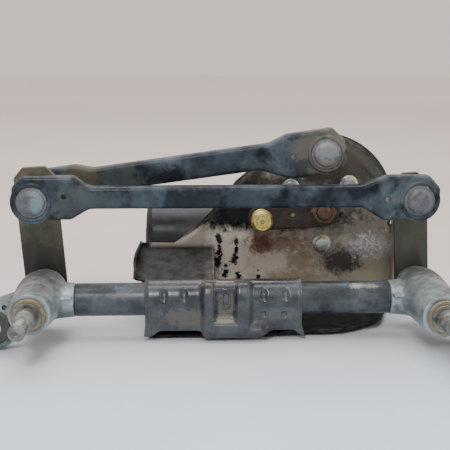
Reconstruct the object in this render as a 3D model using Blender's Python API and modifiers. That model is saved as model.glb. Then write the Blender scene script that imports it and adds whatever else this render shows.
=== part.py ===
"""Twin-spindle windshield wiper assembly with its gear motor.

A steel tube joins two cast pivot housings. A pressed bracket clamped to the tube carries a worm-gear motor.
Each spindle carries a crank plate, a channel link joins the two cranks, and a second channel link hangs on
the left crank, with its free socket lying next to the ball of the motor's crank.

Frame: X along the tube, 0 midway between the spindles; Y towards the motor; Z up from the bracket's base.
Every length in this file is in millimetres, and the functions that make meshes turn them into metres.
"""

from math import asin, atan, atan2, cos, degrees, hypot, pi, radians, sin, tan

import bmesh
import bpy
from mathutils import Matrix, Vector

MM = 0.001
GAP = 0.3
ROUND = 24
SMALL = 16
TINY = 12

# Tube and spindles
TUBE_RADIUS = 11.0
TUBE_WALL = 1.5
TUBE_Z = 25.0
TUBE_END = 104.0
PIVOT_X = 127.5
PIVOT_Z = 27.4
SPINDLE_RADIUS = 6.0
BUSH_OUTER = 8.0
BUSH_INNER = 6.2
FRONT_FACE = {"left": -38.7, "right": -50.0}
SPINDLE_REACH = 34.4
HOUSING_REAR = 18.4

# Ears of the pivot housings
EAR_X = 25.2
EAR_Z = -11.2
EAR_RADIUS = 15.4
EAR_FRONT = -27.0
EAR_BACK = -18.0
GROMMET_RADIUS = 9.0
SLEEVE_RADIUS = 6.0
SLEEVE_BORE = 4.4

# Cranks and their ball studs
CRANK_LEAN = radians(-3.6)
CRANK_RADIUS = 62.7
CRANK_FRONT = 20.0
CRANK_THICK = 4.0
BALL_RADIUS = 8.0
FRONT_BALL_Y = 11.5
REAR_BALL_Y = 33.0
STUD_SHANK = 5.0
STUD_NECK = 4.4

# Links: pressed channels with plastic ball sockets
LINK_WALL = 2.0
FRONT_LINK_DEPTH = 9.0
MOTOR_LINK_DEPTH = 8.0
WEB_TO_BALL = 7.5
SOCKET_RADIUS = 10.0
CAVITY_RADIUS = 8.5
MOTOR_LINK_LENGTH = 198.2
MOTOR_LINK_RISE = radians(8.33)
MOTOR_LINK_YAW = radians(3.1)

# Motor crank
HUB_X = 67.5
HUB_Z = 74.0
MOTOR_CRANK_RADIUS = 45.2
MOTOR_CRANK_ANGLE = radians(-96.7)
MOTOR_BALL_Y = 44.0
MOTOR_ARM_FRONT = 53.5
SHAFT_RADIUS = 5.0

# Bracket
SHEET = 2.5
WALL_Y = 66.0
ARC_RADIUS = 55.2
BASE_LEFT = -58.0
BASE_FRONT = -8.0
BASE_BACK = 108.0

# Worm gear and motor
WORM_Y = 99.0
TEETH = 49
MODULE = 1.0
WHEEL_RADIUS = TEETH * MODULE / 2
WHEEL_WIDTH = 7.0
WORM_RADIUS = 4.5
WORM_PITCH = pi * MODULE
WORM_Z = HUB_Z - WHEEL_RADIUS - WORM_RADIUS
LEAD_ANGLE = atan(WORM_PITCH / (2 * pi * WORM_RADIUS))
TOOTH_SHARE = 0.35
CAN_RADIUS = 29.0
CAN_WALL = 1.8
CAN_LEFT = -64.0
CAN_RIGHT = 26.0
HOUSING_FRONT = WALL_Y + SHEET + GAP
HOUSING_BACK = 110.0
CAVITY_FRONT = 92.0
CAVITY_WHEEL = 28.2
CONNECTOR_X = 47.0
CONNECTOR_Z = 90.0
BOLT_CIRCLE = 27.0
BOLT_ANGLES = (-87.0, 40.5, 146.0)

FINISHES = {
    "blue_black_paint": ((0.045, 0.06, 0.08), 0.42, 0.3),
    "grey_casting": ((0.33, 0.36, 0.35), 0.5, 0.8),
    "olive_zinc": ((0.25, 0.23, 0.14), 0.45, 0.7),
    "yellow_zinc": ((0.62, 0.5, 0.2), 0.35, 0.9),
    "bright_zinc": ((0.55, 0.58, 0.6), 0.3, 0.9),
    "dark_steel": ((0.12, 0.12, 0.13), 0.4, 0.8),
    "rusty_steel": ((0.25, 0.11, 0.05), 0.7, 0.4),
    "dusty_paint": ((0.33, 0.28, 0.22), 0.8, 0.1),
    "black_paint": ((0.02, 0.02, 0.022), 0.45, 0.2),
    "grey_plastic": ((0.1, 0.11, 0.12), 0.5, 0.0),
    "black_plastic": ((0.03, 0.03, 0.03), 0.5, 0.0),
    "white_nylon": ((0.75, 0.73, 0.65), 0.4, 0.0),
    "black_rubber": ((0.03, 0.03, 0.03), 0.85, 0.0),
    "bronze": ((0.5, 0.32, 0.14), 0.4, 0.9),
    "copper": ((0.6, 0.27, 0.15), 0.35, 0.9),
    "magnet_ferrite": ((0.07, 0.07, 0.08), 0.6, 0.1),
    "carbon": ((0.03, 0.03, 0.035), 0.6, 0.2),
}


def clear_scene():
    for obj in list(bpy.data.objects):
        bpy.data.objects.remove(obj, do_unlink=True)


def new_collection(name):
    made = bpy.data.collections.new(name)
    bpy.context.scene.collection.children.link(made)
    return made


def material_for(name, finish):
    colour, roughness, metallic = FINISHES[finish]
    made = bpy.data.materials.new(name)
    made.use_nodes = True
    shader = made.node_tree.nodes["Principled BSDF"]
    shader.inputs["Base Color"].default_value = (*colour, 1.0)
    shader.inputs["Roughness"].default_value = roughness
    shader.inputs["Metallic"].default_value = metallic
    return made


def add_object(name, mesh, parent=None, place=None):
    """A new object in the assembly's collection. place is its matrix under its parent."""
    obj = bpy.data.objects.new(name, mesh)
    ASSEMBLY.objects.link(obj)
    obj.parent = parent
    if place is not None:
        obj.matrix_local = place
    return obj


def add_axis(name, x, y, z, rotation=(0.0, 0.0, 0.0)):
    """An empty on a joint's axis, the parent of the pieces that turn about it."""
    obj = bpy.data.objects.new(name, None)
    ASSEMBLY.objects.link(obj)
    obj.location = (x * MM, y * MM, z * MM)
    obj.rotation_euler = rotation
    return obj


def along(axis, x=0.0, y=0.0, z=0.0):
    """The matrix that lays local Z along the named axis, with its origin at x, y, z."""
    turns = {
        "X": Matrix.Rotation(pi / 2, 4, "Y"),
        "Y": Matrix.Rotation(-pi / 2, 4, "X"),
        "Z": Matrix.Identity(4),
    }
    return Matrix.Translation(Vector((x, y, z)) * MM) @ turns[axis]


def mesh_of(bm, name):
    mesh = bpy.data.meshes.new(name)
    bmesh.ops.recalc_face_normals(bm, faces=bm.faces)
    bm.to_mesh(mesh)
    bm.free()
    mesh.shade_smooth()
    mesh.set_sharp_from_angle(angle=radians(35))
    return mesh


def turned(name, profile, place, parent=None, steps=ROUND):
    """A turned piece. The profile's points are (radius, height), down the outer side, about local Z."""
    bm = bmesh.new()
    points = [bm.verts.new((radius * MM, 0.0, height * MM)) for radius, height in profile]
    for first, second in zip(points, points[1:]):
        bm.edges.new((first, second))
    if profile[0][0] > 0.0:
        bm.edges.new((points[-1], points[0]))
    mesh = bpy.data.meshes.new(name)
    bm.to_mesh(mesh)
    bm.free()
    obj = add_object(name, mesh, parent, place)
    screw = obj.modifiers.new("turn", "SCREW")
    screw.steps = steps
    screw.render_steps = steps
    screw.use_merge_vertices = True
    screw.merge_threshold = 0.00002
    screw.use_smooth_shade = False
    return obj


def ring(name, inner, outer, low, high, place, parent=None, steps=ROUND):
    return turned(name, [(outer, high), (outer, low), (inner, low), (inner, high)], place, parent, steps)


def disc(name, radius, low, high, place, parent=None, steps=ROUND):
    return turned(name, [(0.0, high), (radius, high), (radius, low), (0.0, low)], place, parent, steps)


def box(name, low, high, parent=None):
    """A block between two corners."""
    bm = bmesh.new()
    bmesh.ops.create_cube(bm, size=1.0)
    size = [b - a for a, b in zip(low, high)]
    middle = [(a + b) / 2 for a, b in zip(low, high)]
    bmesh.ops.scale(bm, vec=Vector(size) * MM, verts=bm.verts)
    bmesh.ops.translate(bm, vec=Vector(middle) * MM, verts=bm.verts)
    return add_object(name, mesh_of(bm, name), parent)


def hexagon(name, across_flats, low, high, place, parent=None):
    """A six-sided head or nut about local Z, with a flat towards local Y."""
    bm = bmesh.new()
    radius = across_flats / 2 / cos(pi / 6)
    bmesh.ops.create_cone(
        bm, cap_ends=True, segments=6, radius1=radius * MM, radius2=radius * MM, depth=(high - low) * MM
    )
    bmesh.ops.translate(bm, vec=(0.0, 0.0, (high + low) / 2 * MM), verts=bm.verts)
    return add_object(name, mesh_of(bm, name), parent, place)


def arc(x, z, radius, start, end, count):
    """Points on an arc, from start to end degrees, counted from X towards Z."""
    turns = [radians(start + (end - start) * i / count) for i in range(count + 1)]
    return [(x + radius * cos(turn), z + radius * sin(turn)) for turn in turns]


def rounded(corners, count=4):
    """An outline from corners (x, z, radius), each corner replaced by an arc of that radius."""
    outline = []
    for i, (x, z, radius) in enumerate(corners):
        here = Vector((x, z))
        before = (Vector(corners[i - 1][:2]) - here).normalized()
        after = (Vector(corners[(i + 1) % len(corners)][:2]) - here).normalized()
        if radius <= 0.0:
            outline.append((x, z))
            continue
        half = before.angle(after) / 2
        centre = here + (before + after).normalized() * radius / sin(half)
        first = here + before * radius / tan(half) - centre
        sweep = first.angle_signed(here + after * radius / tan(half) - centre)
        for step in range(count + 1):
            spoke = first.copy()
            spoke.rotate(Matrix.Rotation(-sweep * step / count, 2))
            outline.append(tuple(centre + spoke))
    return outline


def inset(corners, distance):
    """The corners (x, z, radius) of an anticlockwise outline moved inwards by a distance."""
    moved = []
    for i, (x, z, radius) in enumerate(corners):
        here = Vector((x, z))
        arriving = (here - Vector(corners[i - 1][:2])).normalized()
        leaving = (Vector(corners[(i + 1) % len(corners)][:2]) - here).normalized()
        normals = [Vector((-way.y, way.x)) for way in (arriving, leaving)]
        shift = (normals[0] + normals[1]) * distance / (1.0 + normals[0].dot(normals[1]))
        turns_left = arriving.cross(leaving) > 0.0
        new_radius = max(radius + (-distance if turns_left else distance), 0.5)
        moved.append((x + shift.x, z + shift.y, new_radius))
    return moved


def plate(name, outline, low, high, plane="XZ", parent=None, place=None):
    """A flat sheet with the given outline, from low to high along the third axis.

    plane XZ is extruded along Y, plane YZ along X, and plane XY along Z.
    """
    curve = bpy.data.curves.new(name, "CURVE")
    curve.dimensions = "2D"
    curve.fill_mode = "BOTH"
    curve.extrude = (high - low) / 2 * MM
    spline = curve.splines.new("POLY")
    spline.points.add(len(outline) - 1)
    for point, (x, z) in zip(spline.points, outline):
        point.co = (x * MM, z * MM, 0.0, 1.0)
    spline.use_cyclic_u = True
    drawn = bpy.data.objects.new(name, curve)
    mesh = bpy.data.meshes.new_from_object(drawn)
    bpy.data.objects.remove(drawn)
    bpy.data.curves.remove(curve)
    bm = bmesh.new()
    bm.from_mesh(mesh)
    bpy.data.meshes.remove(mesh)
    bmesh.ops.remove_doubles(bm, verts=bm.verts, dist=0.000001)
    bmesh.ops.dissolve_limit(bm, angle_limit=radians(0.5), verts=bm.verts, edges=bm.edges)
    middle = (high + low) / 2 * MM
    if plane == "XZ":
        axes = Matrix(((1, 0, 0, 0), (0, 0, 1, middle), (0, 1, 0, 0), (0, 0, 0, 1)))
    elif plane == "YZ":
        axes = Matrix(((0, 0, 1, middle), (1, 0, 0, 0), (0, 1, 0, 0), (0, 0, 0, 1)))
    else:
        axes = Matrix.Translation((0.0, 0.0, middle))
    bmesh.ops.transform(bm, matrix=axes, verts=bm.verts)
    return add_object(name, mesh_of(bm, name), parent, place)


def swept(name, points, radius):
    """A round bar along a line of points."""
    curve = bpy.data.curves.new(name, "CURVE")
    curve.dimensions = "3D"
    curve.bevel_depth = radius * MM
    curve.bevel_resolution = 1
    curve.use_fill_caps = True
    spline = curve.splines.new("POLY")
    spline.points.add(len(points) - 1)
    for point, place in zip(spline.points, points):
        point.co = (*(Vector(place) * MM), 1.0)
    drawn = bpy.data.objects.new(name, curve)
    mesh = bpy.data.meshes.new_from_object(drawn)
    bpy.data.objects.remove(drawn)
    bpy.data.curves.remove(curve)
    bm = bmesh.new()
    bm.from_mesh(mesh)
    bpy.data.meshes.remove(mesh)
    bmesh.ops.remove_doubles(bm, verts=bm.verts, dist=0.000001)
    return add_object(name, mesh_of(bm, name))


def combine(target, operation, tools):
    """Cuts tools from a piece, or joins them to it, with one Boolean modifier each."""
    for tool in tools:
        modifier = target.modifiers.new(operation.lower(), "BOOLEAN")
        modifier.operation = operation
        modifier.solver = "EXACT"
        modifier.object = tool
        tool.hide_render = True
        tool.display_type = "WIRE"
        ASSEMBLY.objects.unlink(tool)
        HELPERS.objects.link(tool)
    return target


def cut(target, *tools):
    return combine(target, "DIFFERENCE", tools)


def fuse(target, *tools):
    return combine(target, "UNION", tools)


def give(obj, finish):
    """The piece's own material."""
    obj.data.materials.clear()
    obj.data.materials.append(material_for(obj.name, finish))


# Frame: tube, pivot housings and their bushes


def make_tube():
    tube = ring("frame_tube", TUBE_RADIUS - TUBE_WALL, TUBE_RADIUS, -TUBE_END, TUBE_END, along("X", z=TUBE_Z))
    give(tube, "blue_black_paint")


def hull_outline(x1, z1, r1, x2, z2, r2, count):
    """The outline of two circles and the tangents that join them."""
    way = atan2(z2 - z1, x2 - x1)
    lean = asin((r2 - r1) / hypot(x2 - x1, z2 - z1))
    side = pi / 2 + lean
    start, end = degrees(way + side), degrees(way - side)
    return arc(x1, z1, r1, start, end + 360, count) + arc(x2, z2, r2, end, start, count)


def make_pivot_housing(side):
    """A cast housing: bearing boss along Y, neck and spigot along X, and an ear with a mounting hole."""
    sign = -1 if side == "left" else 1
    name = f"{side}_pivot_housing"
    x = sign * PIVOT_X
    front = FRONT_FACE[side]
    outer = [
        (14.2, HOUSING_REAR),
        (16.4, 4.0),
        (16.4, -4.0),
        (14.2, front + 14.0),
        (13.4, front + 1.0),
        (12.6, front),
    ]
    solid = [(0.0, HOUSING_REAR), *outer, (0.0, front)]
    housing = turned(name, solid, along("Y", x=x, z=PIVOT_Z), steps=26)

    neck_inner = sign * (PIVOT_X - 6.0)
    neck_outer = sign * (TUBE_END + GAP)
    neck = [
        (TUBE_RADIUS + 2.6, neck_inner),
        (TUBE_RADIUS + 0.9, neck_outer + sign * 12.0),
        (TUBE_RADIUS, neck_outer),
    ]
    spigot_radius = TUBE_RADIUS - TUBE_WALL - GAP
    spigot = [(spigot_radius, neck_outer), (spigot_radius - 0.5, neck_outer - sign * 18.0)]
    profile = [(0.0, neck_inner), *neck, *spigot, (0.0, spigot[-1][1])]
    if sign < 0:
        profile.reverse()
    neck_piece = turned(f"{name}_neck", profile, along("X", z=TUBE_Z))

    ear_x = x + sign * EAR_X
    ear_z = PIVOT_Z + EAR_Z
    ear = plate(
        f"{name}_ear", hull_outline(x, PIVOT_Z, 12.0, ear_x, ear_z, EAR_RADIUS, 9), EAR_FRONT, EAR_BACK
    )
    rib_x = x + sign * 12.4
    rib = plate(
        f"{name}_rib",
        [(x, PIVOT_Z + 10.0), (rib_x, PIVOT_Z + 2.4), (rib_x, PIVOT_Z - 13.4), (x, PIVOT_Z - 10.0)],
        EAR_BACK - 1.0,
        EAR_BACK + 10.0,
    )
    rim = disc(
        f"{name}_rim",
        EAR_RADIUS - 2.6,
        EAR_FRONT - 1.6,
        EAR_BACK + 1.6,
        along("Y", x=ear_x, z=ear_z),
        steps=20,
    )
    fuse(housing, neck_piece, rib, ear, rim)
    bore = disc(
        f"{name}_bore",
        BUSH_OUTER + GAP,
        front - 1.0,
        HOUSING_REAR + 1.0,
        along("Y", x=x, z=PIVOT_Z),
        steps=SMALL,
    )
    hole = disc(
        f"{name}_hole",
        GROMMET_RADIUS + GAP,
        EAR_FRONT - 9.0,
        EAR_BACK + 13.0,
        along("Y", x=ear_x, z=ear_z),
        steps=16,
    )
    dimple = disc(
        f"{name}_dimple",
        1.8,
        EAR_FRONT - 1.0,
        EAR_FRONT + 3.0,
        along("Y", x=x + sign * 17.6, z=PIVOT_Z + 1.4),
        steps=10,
    )
    cut(housing, bore, hole, dimple)
    give(housing, "grey_casting")


def make_bush(side):
    sign = -1 if side == "left" else 1
    place = along("Y", x=sign * PIVOT_X, z=PIVOT_Z)
    ends = (FRONT_FACE[side] + 0.6, HOUSING_REAR - 0.4)
    give(ring(f"{side}_spindle_bush", BUSH_INNER, BUSH_OUTER, *ends, place, steps=SMALL), "bronze")


def make_ear_parts(side):
    """The rubber grommet in the ear and the steel sleeve inside it."""
    sign = -1 if side == "left" else 1
    place = along("Y", x=sign * (PIVOT_X + EAR_X), z=PIVOT_Z + EAR_Z)
    low, high = EAR_FRONT - 1.6 - GAP, EAR_BACK + 1.6 + GAP
    inner = SLEEVE_RADIUS + GAP
    flange = GROMMET_RADIUS + 2.4
    profile = [
        (flange, high + 2.2),
        (flange, high),
        (GROMMET_RADIUS, high),
        (GROMMET_RADIUS, low),
        (flange, low),
        (flange, low - 2.2),
        (inner, low - 2.2),
        (inner, high + 2.2),
    ]
    give(turned(f"{side}_ear_grommet", profile, place, steps=SMALL), "black_rubber")
    sleeve = ring(f"{side}_ear_sleeve", SLEEVE_BORE, SLEEVE_RADIUS, low - 2.6, high + 2.6, place, steps=SMALL)
    give(sleeve, "bright_zinc")


# Rockers: spindle, washer, circlip, crank plate and ball stud


def make_rocker(side):
    """The pieces that turn with a spindle, modelled upright about it."""
    sign = -1 if side == "left" else 1
    front = FRONT_FACE[side]
    axis = add_axis(f"{side}_spindle_axis", sign * PIVOT_X, 0.0, PIVOT_Z, (0.0, CRANK_LEAN, 0.0))
    place = along("Y")
    back = CRANK_FRONT + CRANK_THICK + GAP
    tip = front - SPINDLE_REACH
    profile = [
        (0.0, back + 3.0),
        (7.4, back + 3.0),
        (8.4, back + 2.0),
        (8.4, back),
        (SPINDLE_RADIUS, back),
        (SPINDLE_RADIUS, CRANK_FRONT - GAP),
        (8.6, CRANK_FRONT - GAP),
        (8.6, HOUSING_REAR + GAP),
        (SPINDLE_RADIUS, HOUSING_REAR + GAP),
        (SPINDLE_RADIUS, front - 3.0),
        (5.2, front - 3.0),
        (5.2, front - 4.8),
        (SPINDLE_RADIUS + 0.4, front - 4.8),
        (SPINDLE_RADIUS + 0.4, front - 11.0),
        (SPINDLE_RADIUS, front - 13.0),
        (5.2, front - 21.0),
        (4.8, front - 21.6),
        (4.8, tip + 1.2),
        (3.8, tip),
        (0.0, tip),
    ]
    give(turned(f"{side}_spindle", profile, place, axis, steps=SMALL), "dark_steel")
    washer = ring(
        f"{side}_thrust_washer",
        SPINDLE_RADIUS + GAP,
        10.6,
        front - 2.8,
        front - GAP,
        place,
        axis,
        steps=ROUND,
    )
    give(washer, "yellow_zinc")
    clip = ring(f"{side}_circlip", 5.5, 8.6, front - 4.5, front - 3.2, place, axis, steps=SMALL)
    mouth = box(f"{side}_circlip_mouth", (-2.2, front - 6.0, -12.0), (2.2, front - 2.0, 0.0), axis)
    cut(clip, mouth)
    give(clip, "dark_steel")

    half = 14.1 if side == "left" else 11.6
    shift = 0.0 if side == "left" else -1.4
    top = CRANK_RADIUS + (21.4 if side == "left" else 16.6)
    corners = [
        (shift - half, -4.0, 0.0),
        (shift - half, top - 7.0, 1.5),
        (shift - half + 6.6, top, 1.5),
        (shift + half - 6.6, top, 1.5),
        (shift + half, top - 7.0, 1.5),
        (shift + half, -4.0, 0.0),
        (shift + half - 1.0, -9.0, 0.0),
        (shift + 6.0, -13.5, 0.0),
        (shift - 6.0, -13.5, 0.0),
        (shift - half + 1.0, -9.0, 0.0),
    ]
    corners.reverse()
    crank = plate(
        f"{side}_crank_arm", rounded(corners, 2), CRANK_FRONT, CRANK_FRONT + CRANK_THICK, parent=axis
    )
    span = (CRANK_FRONT - 1.0, CRANK_FRONT + CRANK_THICK + 1.0)
    spindle_hole = disc(f"{side}_crank_hole", SPINDLE_RADIUS + GAP, *span, place, axis, steps=SMALL)
    stud_hole = disc(
        f"{side}_stud_hole", STUD_SHANK + GAP, *span, along("Y", z=CRANK_RADIUS), axis, steps=SMALL
    )
    cut(crank, spindle_hole, stud_hole)
    give(crank, "olive_zinc")

    make_ball_stud(side, axis)


def ball_arc(centre, start, end):
    """Profile points of a ball, from start to end degrees below its rear pole."""
    count = 6
    turns = [radians(start + (end - start) * i / count) for i in range(count + 1)]
    return [(BALL_RADIUS * sin(turn), centre + BALL_RADIUS * cos(turn)) for turn in turns]


def make_ball_stud(side, axis):
    """The stud riveted in a crank plate: a ball in front and, on the left crank, another behind."""
    back = CRANK_FRONT + CRANK_THICK + GAP
    front = CRANK_FRONT - GAP
    neck_angle = degrees(asin(STUD_NECK / BALL_RADIUS))
    if side == "left":
        name = "left_double_ball_stud"
        ball = ball_arc(REAR_BALL_Y, 22.0, 180.0 - neck_angle)
        rear = [(0.0, ball[0][1]), *ball, (STUD_NECK, back + 1.4)]
    else:
        name = "right_ball_stud"
        rear = [(0.0, back + 2.6), (6.4, back + 2.6)]
    middle = [
        (7.4, back + 1.4),
        (7.4, back),
        (STUD_SHANK, back),
        (STUD_SHANK, front),
        (7.4, front),
        (7.4, front - 1.2),
    ]
    ball = ball_arc(FRONT_BALL_Y, neck_angle, 158.0)
    profile = [*rear, *middle, *ball, (0.0, ball[-1][1])]
    give(turned(name, profile, along("Y", z=CRANK_RADIUS), axis, steps=SMALL), "bright_zinc")


# Links: pressed channels with plastic ball sockets


def make_socket(name, x, ball_y, mouth, axis):
    """A ball socket on a link. mouth is 1 where it opens towards +Y and -1 towards -Y."""
    turns = [radians(turn) for turn in (160.0, 138.0, 115.0, 90.0, 68.0, 51.0)]
    inside = [(CAVITY_RADIUS * sin(turn), CAVITY_RADIUS * cos(turn)) for turn in turns]
    floor = (0.0, inside[0][1])
    rim = inside[-1][1]
    outside = [(SOCKET_RADIUS, rim), (SOCKET_RADIUS, -8.6), (8.4, -10.0), (0.0, -10.0)]
    section = [(radius, ball_y + mouth * height) for radius, height in (floor, *inside, *outside)]
    if mouth < 0:
        section.reverse()
    give(turned(name, section, along("Y", x=x), axis, steps=SMALL), "grey_plastic")


def make_link_rod(name, corners, web_front, depth, ends, holes, axis):
    """A pressed channel open towards +Y, with a collar round the socket hole at each end.

    ends holds (x, collar side) for each socket, and holes the x and z of each small drilled hole.
    """
    back = web_front + depth
    rod = plate(name, rounded(corners, 3), web_front, back, parent=axis)
    inner = plate(
        f"{name}_inside",
        rounded(inset(corners, LINK_WALL), 3),
        web_front + LINK_WALL,
        back + 1.0,
        parent=axis,
    )
    cut(rod, inner)
    for index, (x, collar) in enumerate(ends):
        low, high = (web_front - 1.5, web_front + 0.5) if collar < 0 else (web_front + 1.5, web_front + 3.5)
        place = along("Y", x=x)
        fuse(rod, disc(f"{name}_collar_{index}", 12.6, low, high, place, axis, steps=26))
        cut(
            rod,
            disc(
                f"{name}_seat_{index}",
                SOCKET_RADIUS + GAP,
                web_front - 3.0,
                web_front + 5.0,
                place,
                axis,
                steps=SMALL,
            ),
        )
    for index, (x, z) in enumerate(holes):
        drill = disc(
            f"{name}_drill_{index}",
            1.7,
            web_front - 1.0,
            web_front + 3.0,
            along("Y", x=x, z=z),
            axis,
            steps=10,
        )
        cut(rod, drill)
    give(rod, "blue_black_paint")


def make_front_link():
    ball_x = -PIVOT_X + CRANK_RADIUS * sin(CRANK_LEAN)
    ball_z = PIVOT_Z + CRANK_RADIUS * cos(CRANK_LEAN)
    axis = add_axis("front_link_axis", ball_x, FRONT_BALL_Y, ball_z)
    span = 2 * PIVOT_X
    corners = [
        (-13.4, -12.0, 11.0),
        (25.0, -12.0, 5.0),
        (37.0, -4.9, 9.0),
        (218.0, -4.9, 9.0),
        (232.0, -13.6, 5.0),
        (span + 14.6, -13.6, 12.0),
        (span + 14.6, 8.0, 4.0),
        (span + 7.0, 16.4, 3.0),
        (234.0, 16.4, 12.0),
        (217.0, 9.8, 12.0),
        (37.0, 9.8, 9.0),
        (27.0, 17.0, 6.0),
        (-6.0, 17.0, 4.0),
        (-13.4, 10.0, 6.0),
    ]
    holes = [(20.8, 3.4), (span - 20.6, 0.9)]
    make_link_rod(
        "front_link_rod", corners, -WEB_TO_BALL, FRONT_LINK_DEPTH, [(0.0, -1), (span, -1)], holes, axis
    )
    make_socket("front_link_left_socket", 0.0, 0.0, 1, axis)
    make_socket("front_link_right_socket", span, 0.0, 1, axis)


def make_motor_link():
    """The link to the motor: its left socket opens forwards and its right one, which is free, backwards."""
    ball_x = -PIVOT_X + CRANK_RADIUS * sin(CRANK_LEAN)
    ball_z = PIVOT_Z + CRANK_RADIUS * cos(CRANK_LEAN)
    rotation = (0.0, -MOTOR_LINK_RISE, -MOTOR_LINK_YAW)
    axis = add_axis("motor_link_axis", ball_x, REAR_BALL_Y, ball_z, rotation)
    length = MOTOR_LINK_LENGTH
    corners = [
        (-13.4, -12.0, 11.0),
        (24.0, -12.0, 5.0),
        (36.0, -4.6, 9.0),
        (152.0, -5.0, 14.0),
        (172.0, -14.0, 10.0),
        (length + 13.6, -14.0, 12.0),
        (length + 13.6, 8.0, 4.0),
        (length + 6.0, 17.0, 3.0),
        (173.0, 17.0, 5.0),
        (160.0, 12.6, 14.0),
        (38.0, 13.0, 12.0),
        (26.0, 17.0, 6.0),
        (-6.0, 17.0, 4.0),
        (-13.4, 10.0, 6.0),
    ]
    web = 2.5
    ball = web + WEB_TO_BALL
    ends = [(0.0, 1), (length, -1)]
    make_link_rod("motor_link_rod", corners, web, MOTOR_LINK_DEPTH, ends, [(length - 22.3, 1.6)], axis)
    make_socket("motor_link_left_socket", 0.0, 0.0, -1, axis)
    make_socket("motor_link_right_socket", length, ball, 1, axis)


# Motor crank, output shaft and worm wheel


def make_motor_crank():
    axis = add_axis("motor_crank_axis", HUB_X, 0.0, HUB_Z)
    lean = Matrix.Rotation(MOTOR_CRANK_ANGLE, 4, "Y")
    ball_x = MOTOR_CRANK_RADIUS * sin(MOTOR_CRANK_ANGLE)
    ball_z = MOTOR_CRANK_RADIUS * cos(MOTOR_CRANK_ANGLE)
    arm_back = MOTOR_ARM_FRONT + CRANK_THICK
    outline = hull_outline(0.0, 0.0, 12.5, 0.0, MOTOR_CRANK_RADIUS, 9.2, 8)
    arm = plate("motor_crank_arm", outline, MOTOR_ARM_FRONT, arm_back, parent=axis, place=lean)
    span = (MOTOR_ARM_FRONT - 1.0, arm_back + 1.0)
    hub_hole = disc("motor_hub_hole", SHAFT_RADIUS + GAP, *span, along("Y"), axis, steps=SMALL)
    ball_hole = disc(
        "motor_ball_hole", STUD_SHANK + GAP, *span, along("Y", x=ball_x, z=ball_z), axis, steps=SMALL
    )
    cut(arm, hub_hole, ball_hole)
    give(arm, "dark_steel")

    neck_angle = degrees(asin(STUD_NECK / BALL_RADIUS))
    ball = ball_arc(MOTOR_BALL_Y, neck_angle, 180.0 - 48.6)
    front = MOTOR_ARM_FRONT - GAP
    profile = [
        (0.0, arm_back + GAP + 1.2),
        (6.6, arm_back + GAP + 1.2),
        (6.6, arm_back + GAP),
        (STUD_SHANK, arm_back + GAP),
        (STUD_SHANK, front),
        (7.0, front),
        (7.0, front - 1.4),
        (STUD_NECK, front - 1.4),
        *ball,
        (1.2, ball[-1][1]),
        (0.0, ball[-1][1] + 1.0),
    ]
    stud = turned("motor_crank_ball_stud", profile, along("Y", x=ball_x, z=ball_z), axis, steps=SMALL)
    give(stud, "yellow_zinc")

    nut = hexagon("motor_crank_nut", 16.0, 45.4, 51.2, along("Y"), axis)
    cut(nut, disc("nut_thread", SHAFT_RADIUS + GAP, 44.0, 53.0, along("Y"), axis, steps=SMALL))
    give(nut, "rusty_steel")
    washer = ring("motor_crank_washer", SHAFT_RADIUS + GAP, 8.8, 51.5, 53.2, along("Y"), axis, steps=SMALL)
    give(washer, "dark_steel")

    wheel_back = WORM_Y + WHEEL_WIDTH / 2
    profile = [
        (0.0, wheel_back + 3.0),
        (SHAFT_RADIUS, wheel_back + 3.0),
        (SHAFT_RADIUS, wheel_back - WHEEL_WIDTH - GAP),
        (SPINDLE_RADIUS, wheel_back - WHEEL_WIDTH - GAP),
        (SPINDLE_RADIUS, arm_back + GAP),
        (SHAFT_RADIUS, arm_back + GAP),
        (SHAFT_RADIUS, 44.2),
        (SHAFT_RADIUS - 1.0, 43.2),
        (0.0, 43.2),
    ]
    give(turned("output_shaft", profile, along("Y"), axis, steps=SMALL), "dark_steel")
    make_worm_wheel(axis)
    disc_low = wheel_back + GAP
    park = ring(
        "park_disc", SHAFT_RADIUS + GAP, 17.0, disc_low, disc_low + 0.8, along("Y"), axis, steps=ROUND
    )
    give(park, "copper")


def make_worm_wheel(axis):
    """A nylon gear whose teeth lean by the worm's lead angle, with a gap facing the worm."""
    outline = []
    pitch = 2 * pi / TEETH
    root, tip = WHEEL_RADIUS - 1.15 * MODULE, WHEEL_RADIUS + 0.8 * MODULE
    root_half, tip_half = pitch * (TOOTH_SHARE / 2 + 0.1), pitch * (TOOTH_SHARE / 2 - 0.08)
    for tooth in range(TEETH):
        middle = -pi / 2 + pitch * (tooth + 0.5)
        for radius, turn in ((root, -root_half), (tip, -tip_half), (tip, tip_half), (root, root_half)):
            outline.append((radius * cos(middle + turn), radius * sin(middle + turn)))
    low, high = WORM_Y - WHEEL_WIDTH / 2, WORM_Y + WHEEL_WIDTH / 2
    wheel = plate("worm_wheel", outline, low, high, parent=axis)
    twist = WHEEL_WIDTH / 2 * tan(LEAD_ANGLE) / WHEEL_RADIUS
    for vertex in wheel.data.vertices:
        side = 1.0 if vertex.co.y > WORM_Y * MM else -1.0
        vertex.co.rotate(Matrix.Rotation(side * twist, 3, "Y"))
    bore = disc("wheel_bore", SHAFT_RADIUS + GAP, low - 1.0, high + 1.0, along("Y"), axis, steps=SMALL)
    cut(wheel, bore)
    give(wheel, "white_nylon")


# Bracket and clamp


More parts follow.
